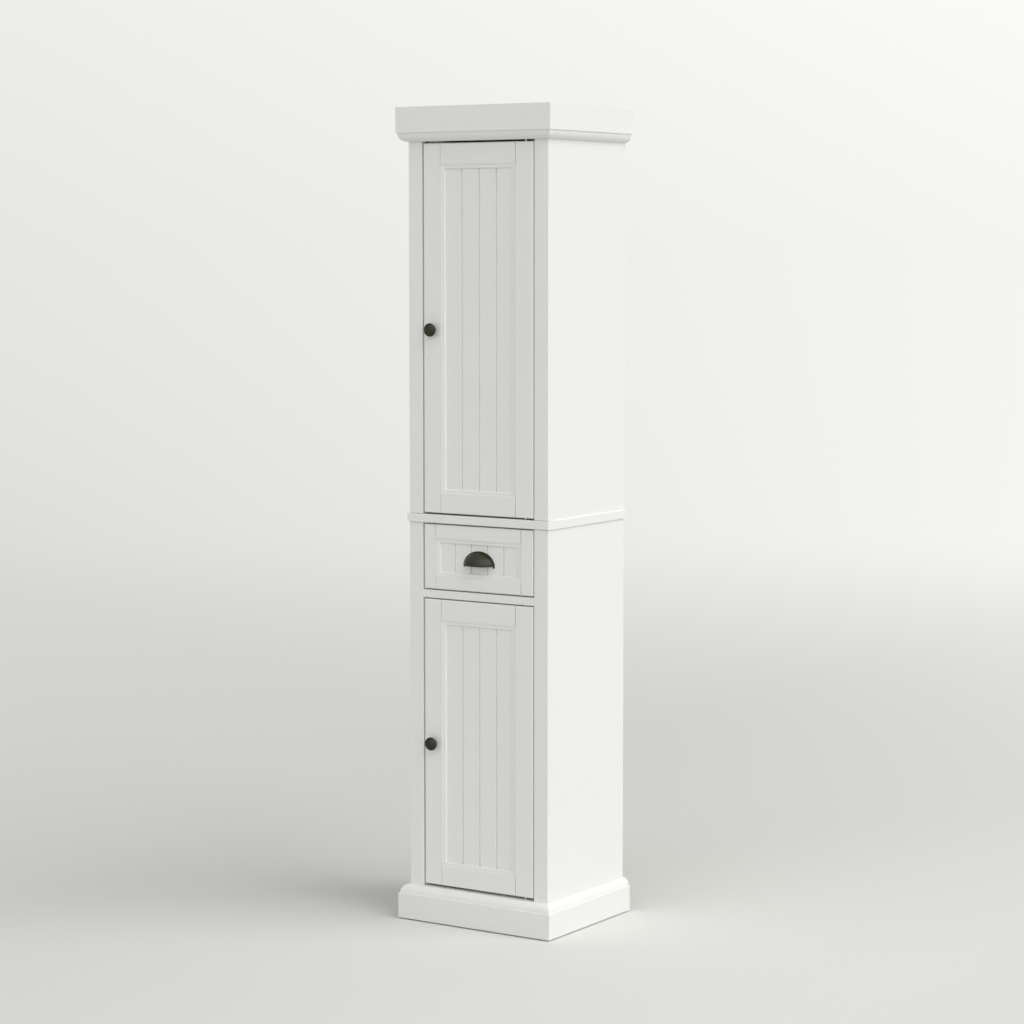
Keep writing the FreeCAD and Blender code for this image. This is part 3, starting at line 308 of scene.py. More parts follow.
def turned(corners, radii, centre, along, sign=1.0, sides=32, arc=4, hollow=False):
    """Rings of a turned piece: a rounded outline in radius and distance, spun about an axis.

    A point at radius r and distance h from the centre goes to (r cos a, r sin a, sign h) for evenly spaced
    angles a. A solid profile starts and ends on the axis, where its rings shrink to the tiny radius and are
    closed.
    """
    zero = np.zeros(len(corners))
    profile, _ = outlines(corners, radii, zero, zero[None], arc)
    radius, distance = np.maximum(profile[0, :, 0], TINY_RADIUS), profile[0, :, 1]
    if hollow:
        radius, distance = np.append(radius, radius[0]), np.append(distance, distance[0])
    angle = np.linspace(0.0, 2 * np.pi, sides, endpoint=False)
    rings = np.stack([
        radius[:, None] * np.cos(angle), radius[:, None] * np.sin(angle),
        sign * distance[:, None] + 0 * angle], -1)
    return rings[..., ALONG[along]] + np.asarray(centre)


def screw_head(centre, radius, height, sides=48):
    """A pan head with a cross recess that looks along +Y: a height over radius and angle.

    The height is a low dome, height (1 - 0.35 s^2 - 0.65 s^8) with s the share of the radius, less the
    recess. The recess goes down where either coordinate is within an arm's half width and the radius within
    its reach, with soft edges.
    """
    share = np.array([
        1.0, 0.985, 0.95, 0.9, 0.82, 0.72, 0.6, 0.53, 0.47, 0.4, 0.33, 0.27, 0.21, 0.16, 0.12, 0.06, 0.01])
    angle = np.linspace(0.0, 2 * np.pi, sides, endpoint=False)
    x, y = share[:, None] * np.cos(angle), share[:, None] * np.sin(angle)
    dome = 1 - 0.35 * share ** 2 - 0.65 * share ** 8
    arm = np.clip((0.13 - np.minimum(abs(x), abs(y))) / 0.06 + 0.5, 0, 1)
    reach = np.clip((0.5 - share) / 0.08 + 0.5, 0, 1)
    depth = height * (dome[:, None] - 0.55 * arm * reach[:, None])
    rings = np.concatenate([
        np.stack([radius * x[:1], radius * y[:1], 0 * x[:1]], -1),
        np.stack([radius * x, radius * y, np.maximum(depth, 0.02 * height)], -1)])
    return rings[..., ALONG["y"]] + np.asarray(centre)


def faces_of(rings, loop=False):
    """Quads between neighbouring rings, with a polygon over each end unless the rings close on themselves."""
    count, sides = rings.shape[:2]
    index = np.arange(count * sides).reshape(count, sides)
    if loop:
        index[-1] = index[0]
    near, far = index[:-1], index[1:]
    quads = np.stack([near, np.roll(near, -1, 1), np.roll(far, -1, 1), far], -1).reshape(-1, 4)
    return quads, [] if loop else [index[0, ::-1], index[-1]]


def volume(points, faces):
    """Six times the volume inside faces that all have as many corners: each fan triangle's triple product."""
    corners = points[faces]
    first = corners[:, :1]
    return (first * np.cross(corners[:, 1:-1], corners[:, 2:])).sum()


def add_piece(name, stacks, body, slot, replaced=(), loops=False, sharp=35.0):
    """One object from one or more closed stacks of rings, riding on a body with its finish from a slot."""
    points, faces, start = [], [], 0
    for rings in stacks:
        flat = rings.reshape(-1, 3)
        quads, caps = faces_of(rings, loops)
        inside = volume(flat, quads) + sum(volume(flat, cap[None]) for cap in caps)
        if inside < 0:
            quads, caps = quads[:, ::-1], [cap[::-1] for cap in caps]
        points.append(flat[:-rings.shape[1]] if loops else flat)
        faces += (quads + start).tolist() + [(cap + start).tolist() for cap in caps]
        start += len(points[-1])
    mesh = bpy.data.meshes.new(name)
    mesh.from_pydata(np.concatenate(points).tolist(), [], faces)
    mesh.validate()
    mesh.shade_smooth()
    mesh.set_sharp_from_angle(angle=radians(sharp))
    mesh.materials.append(bpy.data.materials[slot])
    piece = bpy.data.objects.new(name, mesh)
    bpy.context.scene.collection.objects.link(piece)
    even = piece.modifiers.new("Even shading", "WEIGHTED_NORMAL")
    even.keep_sharp = True
    even.weight = 100
    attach(piece, body)
    if replaced:
        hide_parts(*replaced)
    return piece


def dress(node, ending, stacks, body="cabinet", **settings):
    """The piece that takes the place of one CAD node and has that node's finish."""
    return add_piece(f"{node}_{ending}", stacks, body, SLOTS[node], (node,), **settings)


def span(*nodes):
    """Lowest and highest corner of some CAD nodes together."""
    boxes = np.array([[list(corner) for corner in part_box(node)] for node in nodes])
    return boxes[:, 0].min(0), boxes[:, 1].max(0)


def sides_of(stack):
    """A stack of rings and its mirror image in the cabinet's middle plane."""
    return [stack, stack * np.array([-1.0, 1.0, 1.0])]


# ---------------------------------------------------------------- finishes

class Shader:
    """Builds the node tree of a material or of the world, mostly from noise over Object coordinates."""

    def __init__(self, owner):
        owner.use_nodes = True
        self.tree = owner.node_tree
        self.tree.nodes.clear()
        self.coordinates = self.node("ShaderNodeTexCoord").outputs
        self.place = self.coordinates["Object"]

    def node(self, kind, settings=(), **inputs):
        """A node with its settings, and with values or links on its inputs, named or counted as in i0."""
        made = self.tree.nodes.new(kind)
        for key, value in dict(settings).items():
            setattr(made, key, value)
        for key, value in inputs.items():
            counted = key[0] == "i" and key[1:].isdigit()
            socket = made.inputs[int(key[1:])] if counted else made.inputs[key.replace("_", " ")]
            if isinstance(value, bpy.types.NodeSocket):
                self.tree.links.new(value, socket)
            else:
                socket.default_value = value
        return made

    def stretched(self, x, y, z):
        """Object coordinates with each axis scaled, for streaks and grain."""
        return self.node("ShaderNodeMapping", Vector=self.place, Scale=(x, y, z)).outputs["Vector"]

    def noise(self, scale, detail=2.0, rough=0.5, where=None, distortion=0.0):
        """Soft noise from 0 to 1, with its scale in cells per metre."""
        return self.node(
            "ShaderNodeTexNoise", Vector=where or self.place, Scale=scale, Detail=detail, Roughness=rough,
            Distortion=distortion).outputs["Fac"]

    def spread(self, value, low, high, to_low=0.0, to_high=1.0):
        """A value moved from one range to another and held inside it."""
        return self.node(
            "ShaderNodeMapRange", Value=value, From_Min=low, From_Max=high, To_Min=to_low, To_Max=to_high
        ).outputs["Result"]

    def maths(self, operation, first, second=0.0):
        """A sum, a product or the like of two values."""
        return self.node("ShaderNodeMath", {"operation": operation}, i0=first, i1=second).outputs["Value"]

    def vector(self, operation, first, second=(0.0, 0.0, 0.0), output="Vector"):
        """The same for two vectors."""
        made = self.node("ShaderNodeVectorMath", {"operation": operation}, i0=first, i1=second)
        return made.outputs[output]

    def blend(self, share, first, second):
        """A colour between two others."""
        colours = [
            value if isinstance(value, bpy.types.NodeSocket) else (*value, 1.0) for value in (first, second)]
        return self.node(
            "ShaderNodeMix", {"data_type": "RGBA"}, i0=share, i6=colours[0], i7=colours[1]).outputs[2]

    def relief(self, height, depth, strength=1.0, below=None):
        """A bump of the given depth in metres, laid over another one if there is one."""
        under = {"Normal": below} if below else {}
        return self.node(
            "ShaderNodeBump", Height=height, Distance=depth, Strength=strength, **under).outputs["Normal"]


class Finish(Shader):
    """A piece's material with one principled shader. The CAD model's plain material of its name is reused."""

    def __init__(self, name, **constants):
        super().__init__(bpy.data.materials.get(name) or bpy.data.materials.new(name))
        self.shader = self.node("ShaderNodeBsdfPrincipled", **constants)
        self.node("ShaderNodeOutputMaterial", Surface=self.shader.outputs["BSDF"])

    def wire(self, **sockets):
        """Links outputs to the shader's sockets."""
        for socket, output in sockets.items():
            self.tree.links.new(output, self.shader.inputs[socket.replace("_", " ")])


def shade(colour, factor):
    """A colour made lighter or darker."""
    return tuple(channel * factor for channel in colour)


def paint_finish(name, base):
    """Sprayed satin paint: slow cloudiness of a percent, a fine orange-peel relief and uneven gloss."""
    f = Finish(name, Specular_IOR_Level=0.5)
    cloud = f.spread(f.noise(5.0, 3.0), 0.3, 0.7)
    fine = f.spread(f.noise(240.0, 2.0), 0.3, 0.7)
    tone = f.blend(f.maths("MULTIPLY", cloud, 0.6), shade(base, 0.985), shade(base, 1.01))
    tone = f.blend(f.maths("MULTIPLY", fine, 0.25), tone, shade(base, 0.975))
    peel = f.relief(f.noise(620.0, 2.0, 0.6), 0.00012, 0.35)
    sweep = f.relief(f.noise(90.0, 2.0, 0.5), 0.0004, 0.12, peel)
    gloss = f.spread(f.noise(38.0, 3.0), 0.25, 0.75, 0.36, 0.47)
    f.wire(Base_Color=tone, Roughness=gloss, Normal=sweep)


def interior_finish(name, base):
    """Coated board: a pearled relief under a dull even sheen."""
    f = Finish(name, Specular_IOR_Level=0.4)
    tone = f.blend(f.spread(f.noise(9.0, 3.0), 0.3, 0.7), shade(base, 0.975), base)
    tone = f.blend(f.spread(f.noise(700.0, 1.0), 0.45, 0.75, 0.0, 0.12), tone, shade(base, 0.9))
    pearl = f.relief(f.noise(950.0, 3.0, 0.65), 0.0001, 0.5)
    f.wire(Base_Color=tone, Roughness=f.spread(f.noise(60.0), 0.3, 0.7, 0.5, 0.6), Normal=pearl)


def back_board_finish(name, base):
    """Hardboard: white and smooth on its face, pale brown with a woven screen pattern on its rear side."""
    f = Finish(name, Specular_IOR_Level=0.35)
    rear_plane = span("upper_back_panel")[1][1] - 0.3 * MM
    parts = f.node("ShaderNodeSeparateXYZ", Vector=f.place)
    rear = f.spread(parts.outputs["Y"], rear_plane - 0.1 * MM, rear_plane)
    fibre = f.noise(130.0, 5.0, 0.7)
    brown = f.blend(f.spread(fibre, 0.3, 0.7), (0.50, 0.42, 0.31), (0.62, 0.54, 0.42))
    brown = f.blend(f.spread(f.noise(4.0, 2.0), 0.35, 0.65, 0.0, 0.35), brown, (0.55, 0.45, 0.33))
    white = f.blend(f.spread(f.noise(7.0, 3.0), 0.3, 0.7), shade(base, 0.97), base)
    weave = [
        f.node(
            "ShaderNodeTexWave", {"wave_type": "BANDS", "bands_direction": axis}, Vector=f.place, Scale=92.0,
            Distortion=0.4, Detail=1.0).outputs["Fac"] for axis in ("X", "Z")]
    screen = f.maths("MULTIPLY", f.maths("MULTIPLY", weave[0], weave[1]), rear)
    normal = f.relief(screen, 0.0006, 0.6, f.relief(f.noise(500.0, 2.0), 0.0001, 0.3))
    gloss = f.spread(rear, 0.0, 1.0, 0.42, 0.8)
    f.wire(Base_Color=f.blend(rear, white, brown), Roughness=gloss, Normal=normal)


def plywood_finish(name, base):
    """Birch plywood: long grain on the faces and thin light and dark layers where the edges show.

    Faces that look up or to the front show their layers across the board's thickness. The grain is noise
    stretched along the length, with darker pores drawn out further.
    """
    f = Finish(name, Specular_IOR_Level=0.5, Coat_Weight=0.25, Coat_Roughness=0.3)
    grain = f.noise(1.0, 6.0, 0.62, f.stretched(40.0, 3.0, 55.0), 1.1)
    pores = f.noise(1.0, 2.0, 0.5, f.stretched(900.0, 30.0, 1100.0))
    face = f.blend(f.spread(grain, 0.32, 0.68), shade(base, 0.86), shade(base, 1.08))
    face = f.blend(f.spread(pores, 0.6, 0.75, 0.0, 0.35), face, shade(base, 0.62))
    parts = f.node("ShaderNodeSeparateXYZ", Vector=f.place)
    facing = f.node("ShaderNodeSeparateXYZ", Vector=f.node("ShaderNodeNewGeometry").outputs["Normal"])
    upward = f.spread(f.maths("ABSOLUTE", facing.outputs["Z"]), 0.6, 0.8)
    across = f.maths("ADD", parts.outputs["X"], parts.outputs["Y"])
    layers = f.maths("FRACT", f.maths("MULTIPLY", across, LAYERS_PER_METRE))
    band = f.spread(layers, 0.42, 0.5)
    edge = f.blend(band, shade(base, 0.95), shade(base, 0.58))
    edge = f.blend(f.spread(f.noise(380.0, 3.0), 0.4, 0.7, 0.0, 0.4), edge, shade(base, 0.72))
    top = span("drawer_box_sides")[1][2]
    rim = f.spread(parts.outputs["Z"], top - 1.5 * MM, top - 1.2 * MM)
    tone = f.blend(f.maths("MULTIPLY", upward, rim), face, edge)
    normal = f.relief(grain, 0.0002, 0.25, f.relief(pores, 0.0001, 0.4))
    f.wire(Base_Color=tone, Roughness=f.spread(grain, 0.3, 0.7, 0.34, 0.46), Normal=normal)


def bronze_finish(name, base):
    """Rubbed bronze: nearly black and waxed, with warmer metal showing through in soft worn patches."""
    f = Finish(name, Metallic=0.85, Specular_IOR_Level=0.5, Coat_Weight=0.12, Coat_Roughness=0.28)
    patch = f.spread(f.noise(85.0, 4.0, 0.6), 0.5, 0.72)
    fleck = f.spread(f.noise(900.0, 3.0, 0.7), 0.56, 0.7)
    tone = f.blend(f.maths("MULTIPLY", patch, 0.5), base, (0.070, 0.064, 0.040))
    tone = f.blend(f.maths("MULTIPLY", fleck, 0.45), tone, (0.16, 0.145, 0.10))
    normal = f.relief(f.noise(520.0, 3.0, 0.6), 0.00012, 0.5)
    gloss = f.spread(f.noise(130.0, 3.0), 0.3, 0.7, 0.36, 0.5)
    f.wire(Base_Color=tone, Roughness=gloss, Normal=normal)


def steel_finish(name, base):
    """Zinc plate: bright metal with a faint spangle and short rolling marks along its length."""
    f = Finish(name, Metallic=1.0, Roughness=0.32)
    spangle = f.node("ShaderNodeTexVoronoi", Vector=f.place, Scale=420.0).outputs["Color"]
    grey = f.node("ShaderNodeSeparateXYZ", Vector=spangle).outputs["X"]
    streak = f.noise(1.0, 3.0, 0.6, f.stretched(700.0, 25.0, 700.0))
    tone = f.blend(f.spread(grey, 0.0, 1.0, 0.0, 0.5), shade(base, 0.86), shade(base, 1.08))
    tone = f.blend(f.spread(f.noise(40.0, 3.0), 0.5, 0.8, 0.0, 0.4), tone, (0.60, 0.58, 0.50))
    gloss = f.spread(streak, 0.3, 0.7, 0.26, 0.42)
    f.wire(Base_Color=tone, Roughness=gloss, Normal=f.relief(streak, 0.00006, 0.35))


def plastic_finish(name, base, gloss, mottle=0.04):
    """Moulded plastic: even colour with a trace of flow marks and a fine eroded texture."""
    f = Finish(name, Specular_IOR_Level=0.45)
    flow = f.spread(f.noise(45.0, 3.0, 0.5, distortion=1.2), 0.3, 0.7)
    tone = f.blend(flow, shade(base, 1 - mottle), base)
    normal = f.relief(f.noise(1300.0, 2.0, 0.6), 0.00005, 0.6)
    uneven = f.spread(f.noise(160.0), 0.3, 0.7, gloss - 0.05, gloss + 0.05)
    f.wire(Base_Color=tone, Roughness=uneven, Normal=normal)


class CABINET_OT_finishes(bpy.types.Operator):
    """Make the nine finishes and give every CAD node the one that its record names"""

    bl_idname = "cabinet.finishes"
    bl_label = "Make Finishes"

    def execute(self, context):
        finishes = context.scene.cabinet_finishes
        makers = {
            "white_paint": paint_finish,
            "white_interior": interior_finish,
            "white_back_board": back_board_finish,
            "birch_plywood": plywood_finish,
            "dark_bronze": bronze_finish,
            "zinc_plated_steel": steel_finish,
            "nylon": lambda name, base: plastic_finish(name, base, 0.42),
            "white_plastic": lambda name, base: plastic_finish(name, base, 0.38, 0.02),
            "glide_plastic": lambda name, base: plastic_finish(name, base, 0.6, 0.2),
        }
        for name, make in makers.items():
            make(name, tuple(getattr(finishes, name)))
        for node, made in frame["nodes"].items():
            for slot in made.material_slots:
                slot.material = bpy.data.materials[SLOTS[node]]
        return {"FINISHED"}


# ---------------------------------------------------------------- carcase

def moulding_outline(boards, reach, thickness, height, quirk):
    """Corners and radii of the moulding's section: depth behind its face against height.

    The face rises plain, a small ledge steps back, and a parabola that stands out from its chord runs in to
    the carcase. The boards' settings give the steps, and a steep cut as wide as the quirk takes off the last
    edge. A board thicker than the reach has a corner at the reach too, where its mitre ends.
    """
    start = np.array([boards.moulding_ledge, boards.moulding_face])
    end = np.array([reach - boards.moulding_flat, height])
    chord = end - start
    outward = np.array([-chord[1], chord[0]]) / np.linalg.norm(chord)
    bend = curve(start, (start + end) / 2 + 2 * boards.moulding_bulge * outward, end, 12)
    mitre_ends = [(reach, 0.0)], [(reach, height)]
    if thickness <= reach:
        mitre_ends = [], []
    corners = [
        *bend[::-1], (0.0, boards.moulding_face), (0.0, 0.0), *mitre_ends[0], (thickness, 0.0),
        (thickness, height - 3 * quirk), (thickness - quirk, height), *mitre_ends[1]]
    ease = boards.moulding_ease
    radii = [
        0.4 * ease, *[0.0] * 10, 0.4 * ease, ease, ease, *[0.0] * len(mitre_ends[0]), 0.3 * ease,
        0.2 * quirk, 0.3 * quirk, *[0.0] * len(mitre_ends[1])]
    return np.array(corners), np.array(radii)


class CABINET_OT_mouldings(bpy.types.Operator):
    """Make the mitred boards of the crown and of the plinth"""

    bl_idname = "cabinet.mouldings"
    bl_label = "Make Crown and Plinth"

    def execute(self, context):
        boards = context.scene.cabinet_boards
        for name, upward in (("crown", False), ("plinth", True)):
            low, high = span(name + "_front", name + "_right", name + "_left")
            carcase_half = span("upper_side_right")[1][0]
            reach = high[0] - carcase_half
            height = high[2] - low[2]
            thickness = span(name + "_front")[1][1] - low[1]
            joint = boards.joint_ease

            def at_level(rings):
                """Heights of the section become levels, counted up from the bottom or down from the top."""
                rings[..., 2] = low[2] + rings[..., 2] if upward else high[2] - rings[..., 2]
                return rings

            front = eased_bar(
                *moulding_outline(boards, reach, thickness, height, joint), 0.4 * joint,
                lambda depth, _: np.minimum(depth, reach) - high[0],
                lambda depth, _: high[0] - np.minimum(depth, reach), "x")
            front[..., 1] += low[1]
            dress(name + "_front", "board", [at_level(front)])
            side = eased_bar(
                *moulding_outline(boards, reach, reach, height, boards.moulding_quirk), 0.4 * joint,
                lambda depth, _: low[1] + np.minimum(depth, reach), high[1], "y")
            side[..., 0] = high[0] - side[..., 0]
            for hand, rings in zip(("right", "left"), sides_of(at_level(side))):
                dress(f"{name}_{hand}", "board", [rings])
        return {"FINISHED"}


def shelf_levels():
    """Underside and top of each shelf, node by node. The lower shelf gives the thickness of them all."""
    low, high = span("upper_shelves")[0][2], span("upper_shelves")[1][2]
    single = span("lower_shelf")[0][2], span("lower_shelf")[1][2]
    thickness = single[1] - single[0]
    return {"upper_shelves": ((low, low + thickness), (high - thickness, high)), "lower_shelf": (single,)}


class CABINET_OT_carcase_boards(bpy.types.Operator):
    """Make the face stiles, the waist board, the top cap and the shelves"""

    bl_idname = "cabinet.carcase_boards"
    bl_label = "Make Carcase Boards"

    def execute(self, context):
        boards = context.scene.cabinet_boards
        joint = boards.joint_ease
        for level in ("upper", "lower"):
            low, high = span(f"{level}_stile_right")
            gap = np.array([0.0, 0.0, boards.stile_end_gap])
            stile = plain_board(
                low + gap, high - gap, [boards.stile_ease, boards.stile_ease, joint, joint],
                [boards.stile_end_ease, joint, joint, joint])
            for side, rings in zip(("right", "left"), sides_of(stile)):
                node = f"{level}_stile_{side}"
                add_piece(f"{level}_face_stile_{side}", [rings], "cabinet", SLOTS[node], (node,))
        front, side = boards.waist_ease, boards.waist_side_ease
        waist = plain_board(*span("waist_board"), [front, front, joint, joint], [front, side, joint, side])
        dress("waist_board", "painted", [waist])
        cap = plain_board(*span("top_cap"), [boards.board_ease] * 4, boards.board_ease)
        dress("top_cap", "painted", [cap])
        (x0, y0, _), (x1, y1, _) = span("upper_shelves")
        eases = [boards.shelf_ease, joint, joint, joint]
        for node, levels in shelf_levels().items():
            dress(node, "coated", [
                plain_board((x0, y0, low), (x1, y1, high), [joint] * 4, eases) for low, high in levels])
        return {"FINISHED"}


# ---------------------------------------------------------------- doors and drawer front

def frame_of(name, stiles):
    """Planes of a door or drawer front, read from its CAD nodes."""
    outer_low, outer_high = span(*stiles)
    bead_low, bead_high = span(name + "_bead")
    panel_low, panel_high = span(name + "_panel")
    return {
        "x": (outer_low[0], outer_high[0]), "z": (outer_low[2], outer_high[2]),
        "open_x": (bead_low[0], bead_high[0]), "open_z": (bead_low[2], bead_high[2]),
        "y": (outer_low[1], outer_high[1]), "panel_y": (panel_low[1], panel_high[1])}


def stile_rings(fronts, planes):
    """The right-hand stile: a wide rounding outside, and a steep cut inside that is half of the seam."""
    outer, width, depth = fronts.outer_ease, fronts.seam_width, fronts.seam_depth
    x0, x1, (y0, y1) = planes["open_x"][1], planes["x"][1], planes["y"]
    corners = [(x0 + width, y0), (x1, y0), (x1, y1), (x0, y1), (x0, y0 + depth)]
    back, seam = 0.3 * outer, 0.4 * width
    return eased_bar(
        corners, [seam, outer, back, seam, seam], [outer, back, back, seam, seam], *planes["z"], "z")


def rail_rings(fronts, planes, top):
    """A rail between the stiles. Its ends slope back over the seam's depth, as a function of that depth."""
    outer, width, depth = fronts.outer_ease, fronts.seam_width, fronts.seam_depth
    (y0, y1), half = planes["y"], planes["open_x"][1]
    back = 0.3 * outer
    if top:
        z, radii = (planes["open_z"][1], planes["z"][1]), [width, 0.4 * width, back, outer]
    else:
        z, radii = (planes["z"][0], planes["open_z"][0]), [outer, back, 0.4 * width, width]

    def end(y, _):
        return half - width * np.clip(1 - (y - y0) / depth, 0, 1)

    corners = [(y0, z[0]), (y0 + depth, z[0]), (y1, z[0]), (y1, z[1]), (y0 + depth, z[1]), (y0, z[1])]
    radii = [radii[0], 0.0, radii[1], radii[2], 0.0, radii[3]]
    return eased_bar(corners, radii, FINE_EASE, lambda y, z: -end(y, z), end, "x")


def panel_rings(fronts, planes, board):
    """The inset panel, whose section across the door has soft V grooves one board's width apart."""
    half = planes["open_x"][1]
    y0, y1 = planes["panel_y"]
    tuck = 1.5 * MM
    boards = round(2 * (half - fronts.bead_width) / board)
    middles = (np.arange(1, boards) - boards / 2) * board
    steps = np.array([-0.5, 0.0, 0.5]) * fronts.groove_width
    x = (middles[:, None] + steps).ravel()
    y = np.tile([y0, y0 + fronts.groove_depth, y0], len(middles))
    end = half + tuck
    corners = np.concatenate([[(-end, y0)], np.stack([x, y], 1), [(end, y0), (end, y1), (-end, y1)]])
    radii = np.array([0.2] + [0.5, 0.3, 0.5] * len(middles) + [0.2] * 3) * MM
    low, high = planes["open_z"]
    return eased_bar(corners, radii, 0.1 * MM, low - tuck, high + tuck, "z", turn=2)


def bead_outline(fronts, recess):
    """Corners and radii of the bead's section: width in from the frame against depth behind its face.

    An outer step, a slope down to a flat, and an ovolo down to the panel.
    """
    lip, lip_depth, depth = fronts.bead_lip_width, fronts.bead_lip_depth, fronts.bead_flat_depth
    width = fronts.bead_width
    ovolo = curve((lip + fronts.bead_flat_width, depth), (width - 0.3 * MM, depth), (width, recess), 10)
    corners = np.concatenate([
        [(0.0, recess), (0.0, lip_depth), (lip - fronts.bead_slope, lip_depth), (lip, depth)], ovolo])
    radii = np.array([0.0, 0.5, 0.6, 0.3] + [0.0] * 10) * MM
    return corners[::-1], radii[::-1]


def bead_stacks(fronts, planes):
    """Four strips whose ends are cut at 45 degrees: an end moves in by as much as the point's width.

    Each strip is worked out with its width counted in from the frame, then turned to its side of the opening.
    """
    front = planes["y"][0]
    section = bead_outline(fronts, planes["panel_y"][0] - front)
    half = planes["open_x"][1]
    low, high = planes["open_z"]

    def strip(first, last):
        """Width, depth and level of the points of a strip between two levels at the frame."""
        rings = eased_bar(
            *section, FINE_EASE, lambda width, _: first + width, lambda width, _: last - width, "z", turn=2)
        return np.moveaxis(rings, -1, 0)

    width, depth, level = strip(low, high)
    right = np.stack([half - width, front + depth, level], -1)
    width, depth, level = strip(-half, half)
    over = np.stack([level, front + depth, high - width], -1)
    under = np.stack([level, front + depth, low + width], -1)
    return sides_of(right) + [over, under]


class CABINET_OT_fronts(bpy.types.Operator):
    """Make the stiles, rails, grooved panels and beads of the doors and the drawer front"""

    bl_idname = "cabinet.fronts"
    bl_label = "Make Doors and Drawer Front"

    def execute(self, context):
        fronts = context.scene.cabinet_fronts
        for name, body, stiles in FRONTS:
            planes = frame_of(name, stiles)
            pair = sides_of(stile_rings(fronts, planes))[::-1]
            stacks = [pair] if len(stiles) == 1 else [[rings] for rings in pair]
            for node, rings in zip(stiles, stacks):
                dress(node, "painted", rings, body)
            rails = [rail_rings(fronts, planes, top) for top in (True, False)]
            dress(name + "_rails", "painted", rails, body)
            board = fronts.door_board if name in DOORS else fronts.drawer_board
            dress(name + "_panel", "painted", [panel_rings(fronts, planes, board)], body)
            dress(name + "_bead", "painted", bead_stacks(fronts, planes), body, sharp=50.0)
        return {"FINISHED"}


# ---------------------------------------------------------------- hardware

def knob_outline(hardware, radius, projection):
    """Corners and radii of half the knob's section, radius against distance from the door.

    A small foot, a neck, a parabola that swells out to the rim, a rounded ring and, a step lower, a dome.
    """
    foot, neck = hardware.knob_foot_radius, hardware.knob_neck_radius
    neck_end = hardware.knob_neck_end
    dome_edge = projection - hardware.knob_dome_rise
    rim = dome_edge - hardware.knob_rim
    cup_end = rim - 1.0 * MM
    inner = radius - hardware.knob_ring_width
    ring_top = rim + hardware.knob_rim + hardware.knob_ring_rise
    swell = (neck + 0.76 * (radius - neck), neck_end + 0.2 * (cup_end - neck_end))
    cup = curve((neck, neck_end), swell, (radius, cup_end), 12)
    ring = curve((radius, rim + 0.8 * MM), (radius - 0.2 * MM, ring_top), (inner, ring_top), 8)
    dome = curve((inner, dome_edge), (0.5 * inner, projection), (0.0, projection), 10)
    height = hardware.knob_foot_height
    corners = np.concatenate([
        [(0.0, 0.0), (foot, 0.0), (foot, height), (neck, height + foot - neck)], cup, ring, dome])
    radii = np.zeros(len(corners))
    radii[1:4] = 0.3 * MM, 0.8 * MM, 2.0 * MM
    ring_end = 4 + len(cup) + len(ring)
    radii[ring_end - 1:ring_end + 1] = 0.5 * MM, 0.3 * MM
    return corners, radii


class CABINET_OT_knobs(bpy.types.Operator):
    """Make the two knobs and the screws that hold them from behind"""

    bl_idname = "cabinet.knobs"
    bl_label = "Make Knobs"

    def execute(self, context):
        hardware = context.scene.cabinet_hardware
        for door in DOORS:
            low, high = span(door + "_knob")
            (_, face, _), (_, frame_back, _) = span(door + "_knob_stile")
            middle = (low + high) / 2
            corners, radii = knob_outline(hardware, middle[0] - low[0], face - low[1])
            knob = turned(corners, radii, (middle[0], face, middle[2]), "y", -1.0, hardware.turned_sides)
            dress(door + "_knob", "turned", [knob], door, sharp=30.0)
            head = screw_head(
                (middle[0], frame_back, middle[2]), 2 * hardware.screw_radius, hardware.screw_head_height)
            add_piece(door + "_knob_screw", [head], door, "zinc_plated_steel")
        return {"FINISHED"}


def cup_shell(half_width, depth, height, wall):
    """Rings of the cup: a quarter of an ellipsoid with a wall, a rounded lip and a rim swept out a little.

    At an angle a across the cup, from 0 to 180 degrees, and b up it, from 0 at the lip to 90 at the panel,
    the outer face is at x = -A cos a, y = -B sin a cos b, z = C sin a sin b. Its x and z grow by a share that
    falls off with the distance d from the panel as exp(-d / fade) does. The inner face is the same with the
    wall taken off A, B and C, and without the growth. Half a circle joins them round the lip.
    """
    sweep, fade = 0.045, 1.6 * MM
    end = np.array([0.4, 1.5, 3, 5, 7.5])
    across = np.radians(np.concatenate([end, np.linspace(10.5, 169.5, 41), 180 - end[::-1]]))[:, None]
    up = np.linspace(0.0, np.pi / 2, 17)[None]

    def face(a, b, c):
        """The face of an ellipsoid with three half axes."""
        x, y, z = -a * np.cos(across), -b * np.sin(across) * np.cos(up), c * np.sin(across) * np.sin(up)
        return np.stack([x + 0 * up, y, z], -1)

    outer = face(half_width, depth, height)
    outer[..., ::2] *= 1 + sweep * np.exp(outer[..., 1:2] / fade)
    inner = face(half_width - wall, depth - wall, height - wall)
    middle, reach = (outer[:, :1] + inner[:, :1]) / 2, (outer[:, :1] - inner[:, :1]) / 2
    beta = np.linspace(0.0, np.pi, 9)[1:-1][None, :, None]
    drop = np.array([0, 0, wall / 2]) * np.sin(beta) * np.sin(across)[..., None]
    return np.concatenate([outer, inner[:, ::-1], middle - reach * np.cos(beta) - drop], 1)


def flange_outline(hardware, half_width, rise, shell_half, shell_rise, low):
    """The flange seen from the front: half an ellipse outside and inside, and a round end at each side."""
    ear = hardware.pull_ear_radius
    lip = low + hardware.pull_ear_drop
    over = np.linspace(0.0, np.pi, 37)
    under = np.linspace(np.pi, 2 * np.pi, 13)
    outer = np.stack([half_width * np.cos(over), lip + rise * np.sin(over)], 1)
    inner = np.stack([shell_half * np.cos(over), lip + shell_rise * np.sin(over)], 1)[::-1]
    end = np.stack([ear * np.cos(under), low + ear + ear * np.sin(under)], 1)
    shift = np.array([half_width - ear, 0.0])
    return np.concatenate([outer, end - shift, inner, end + shift])


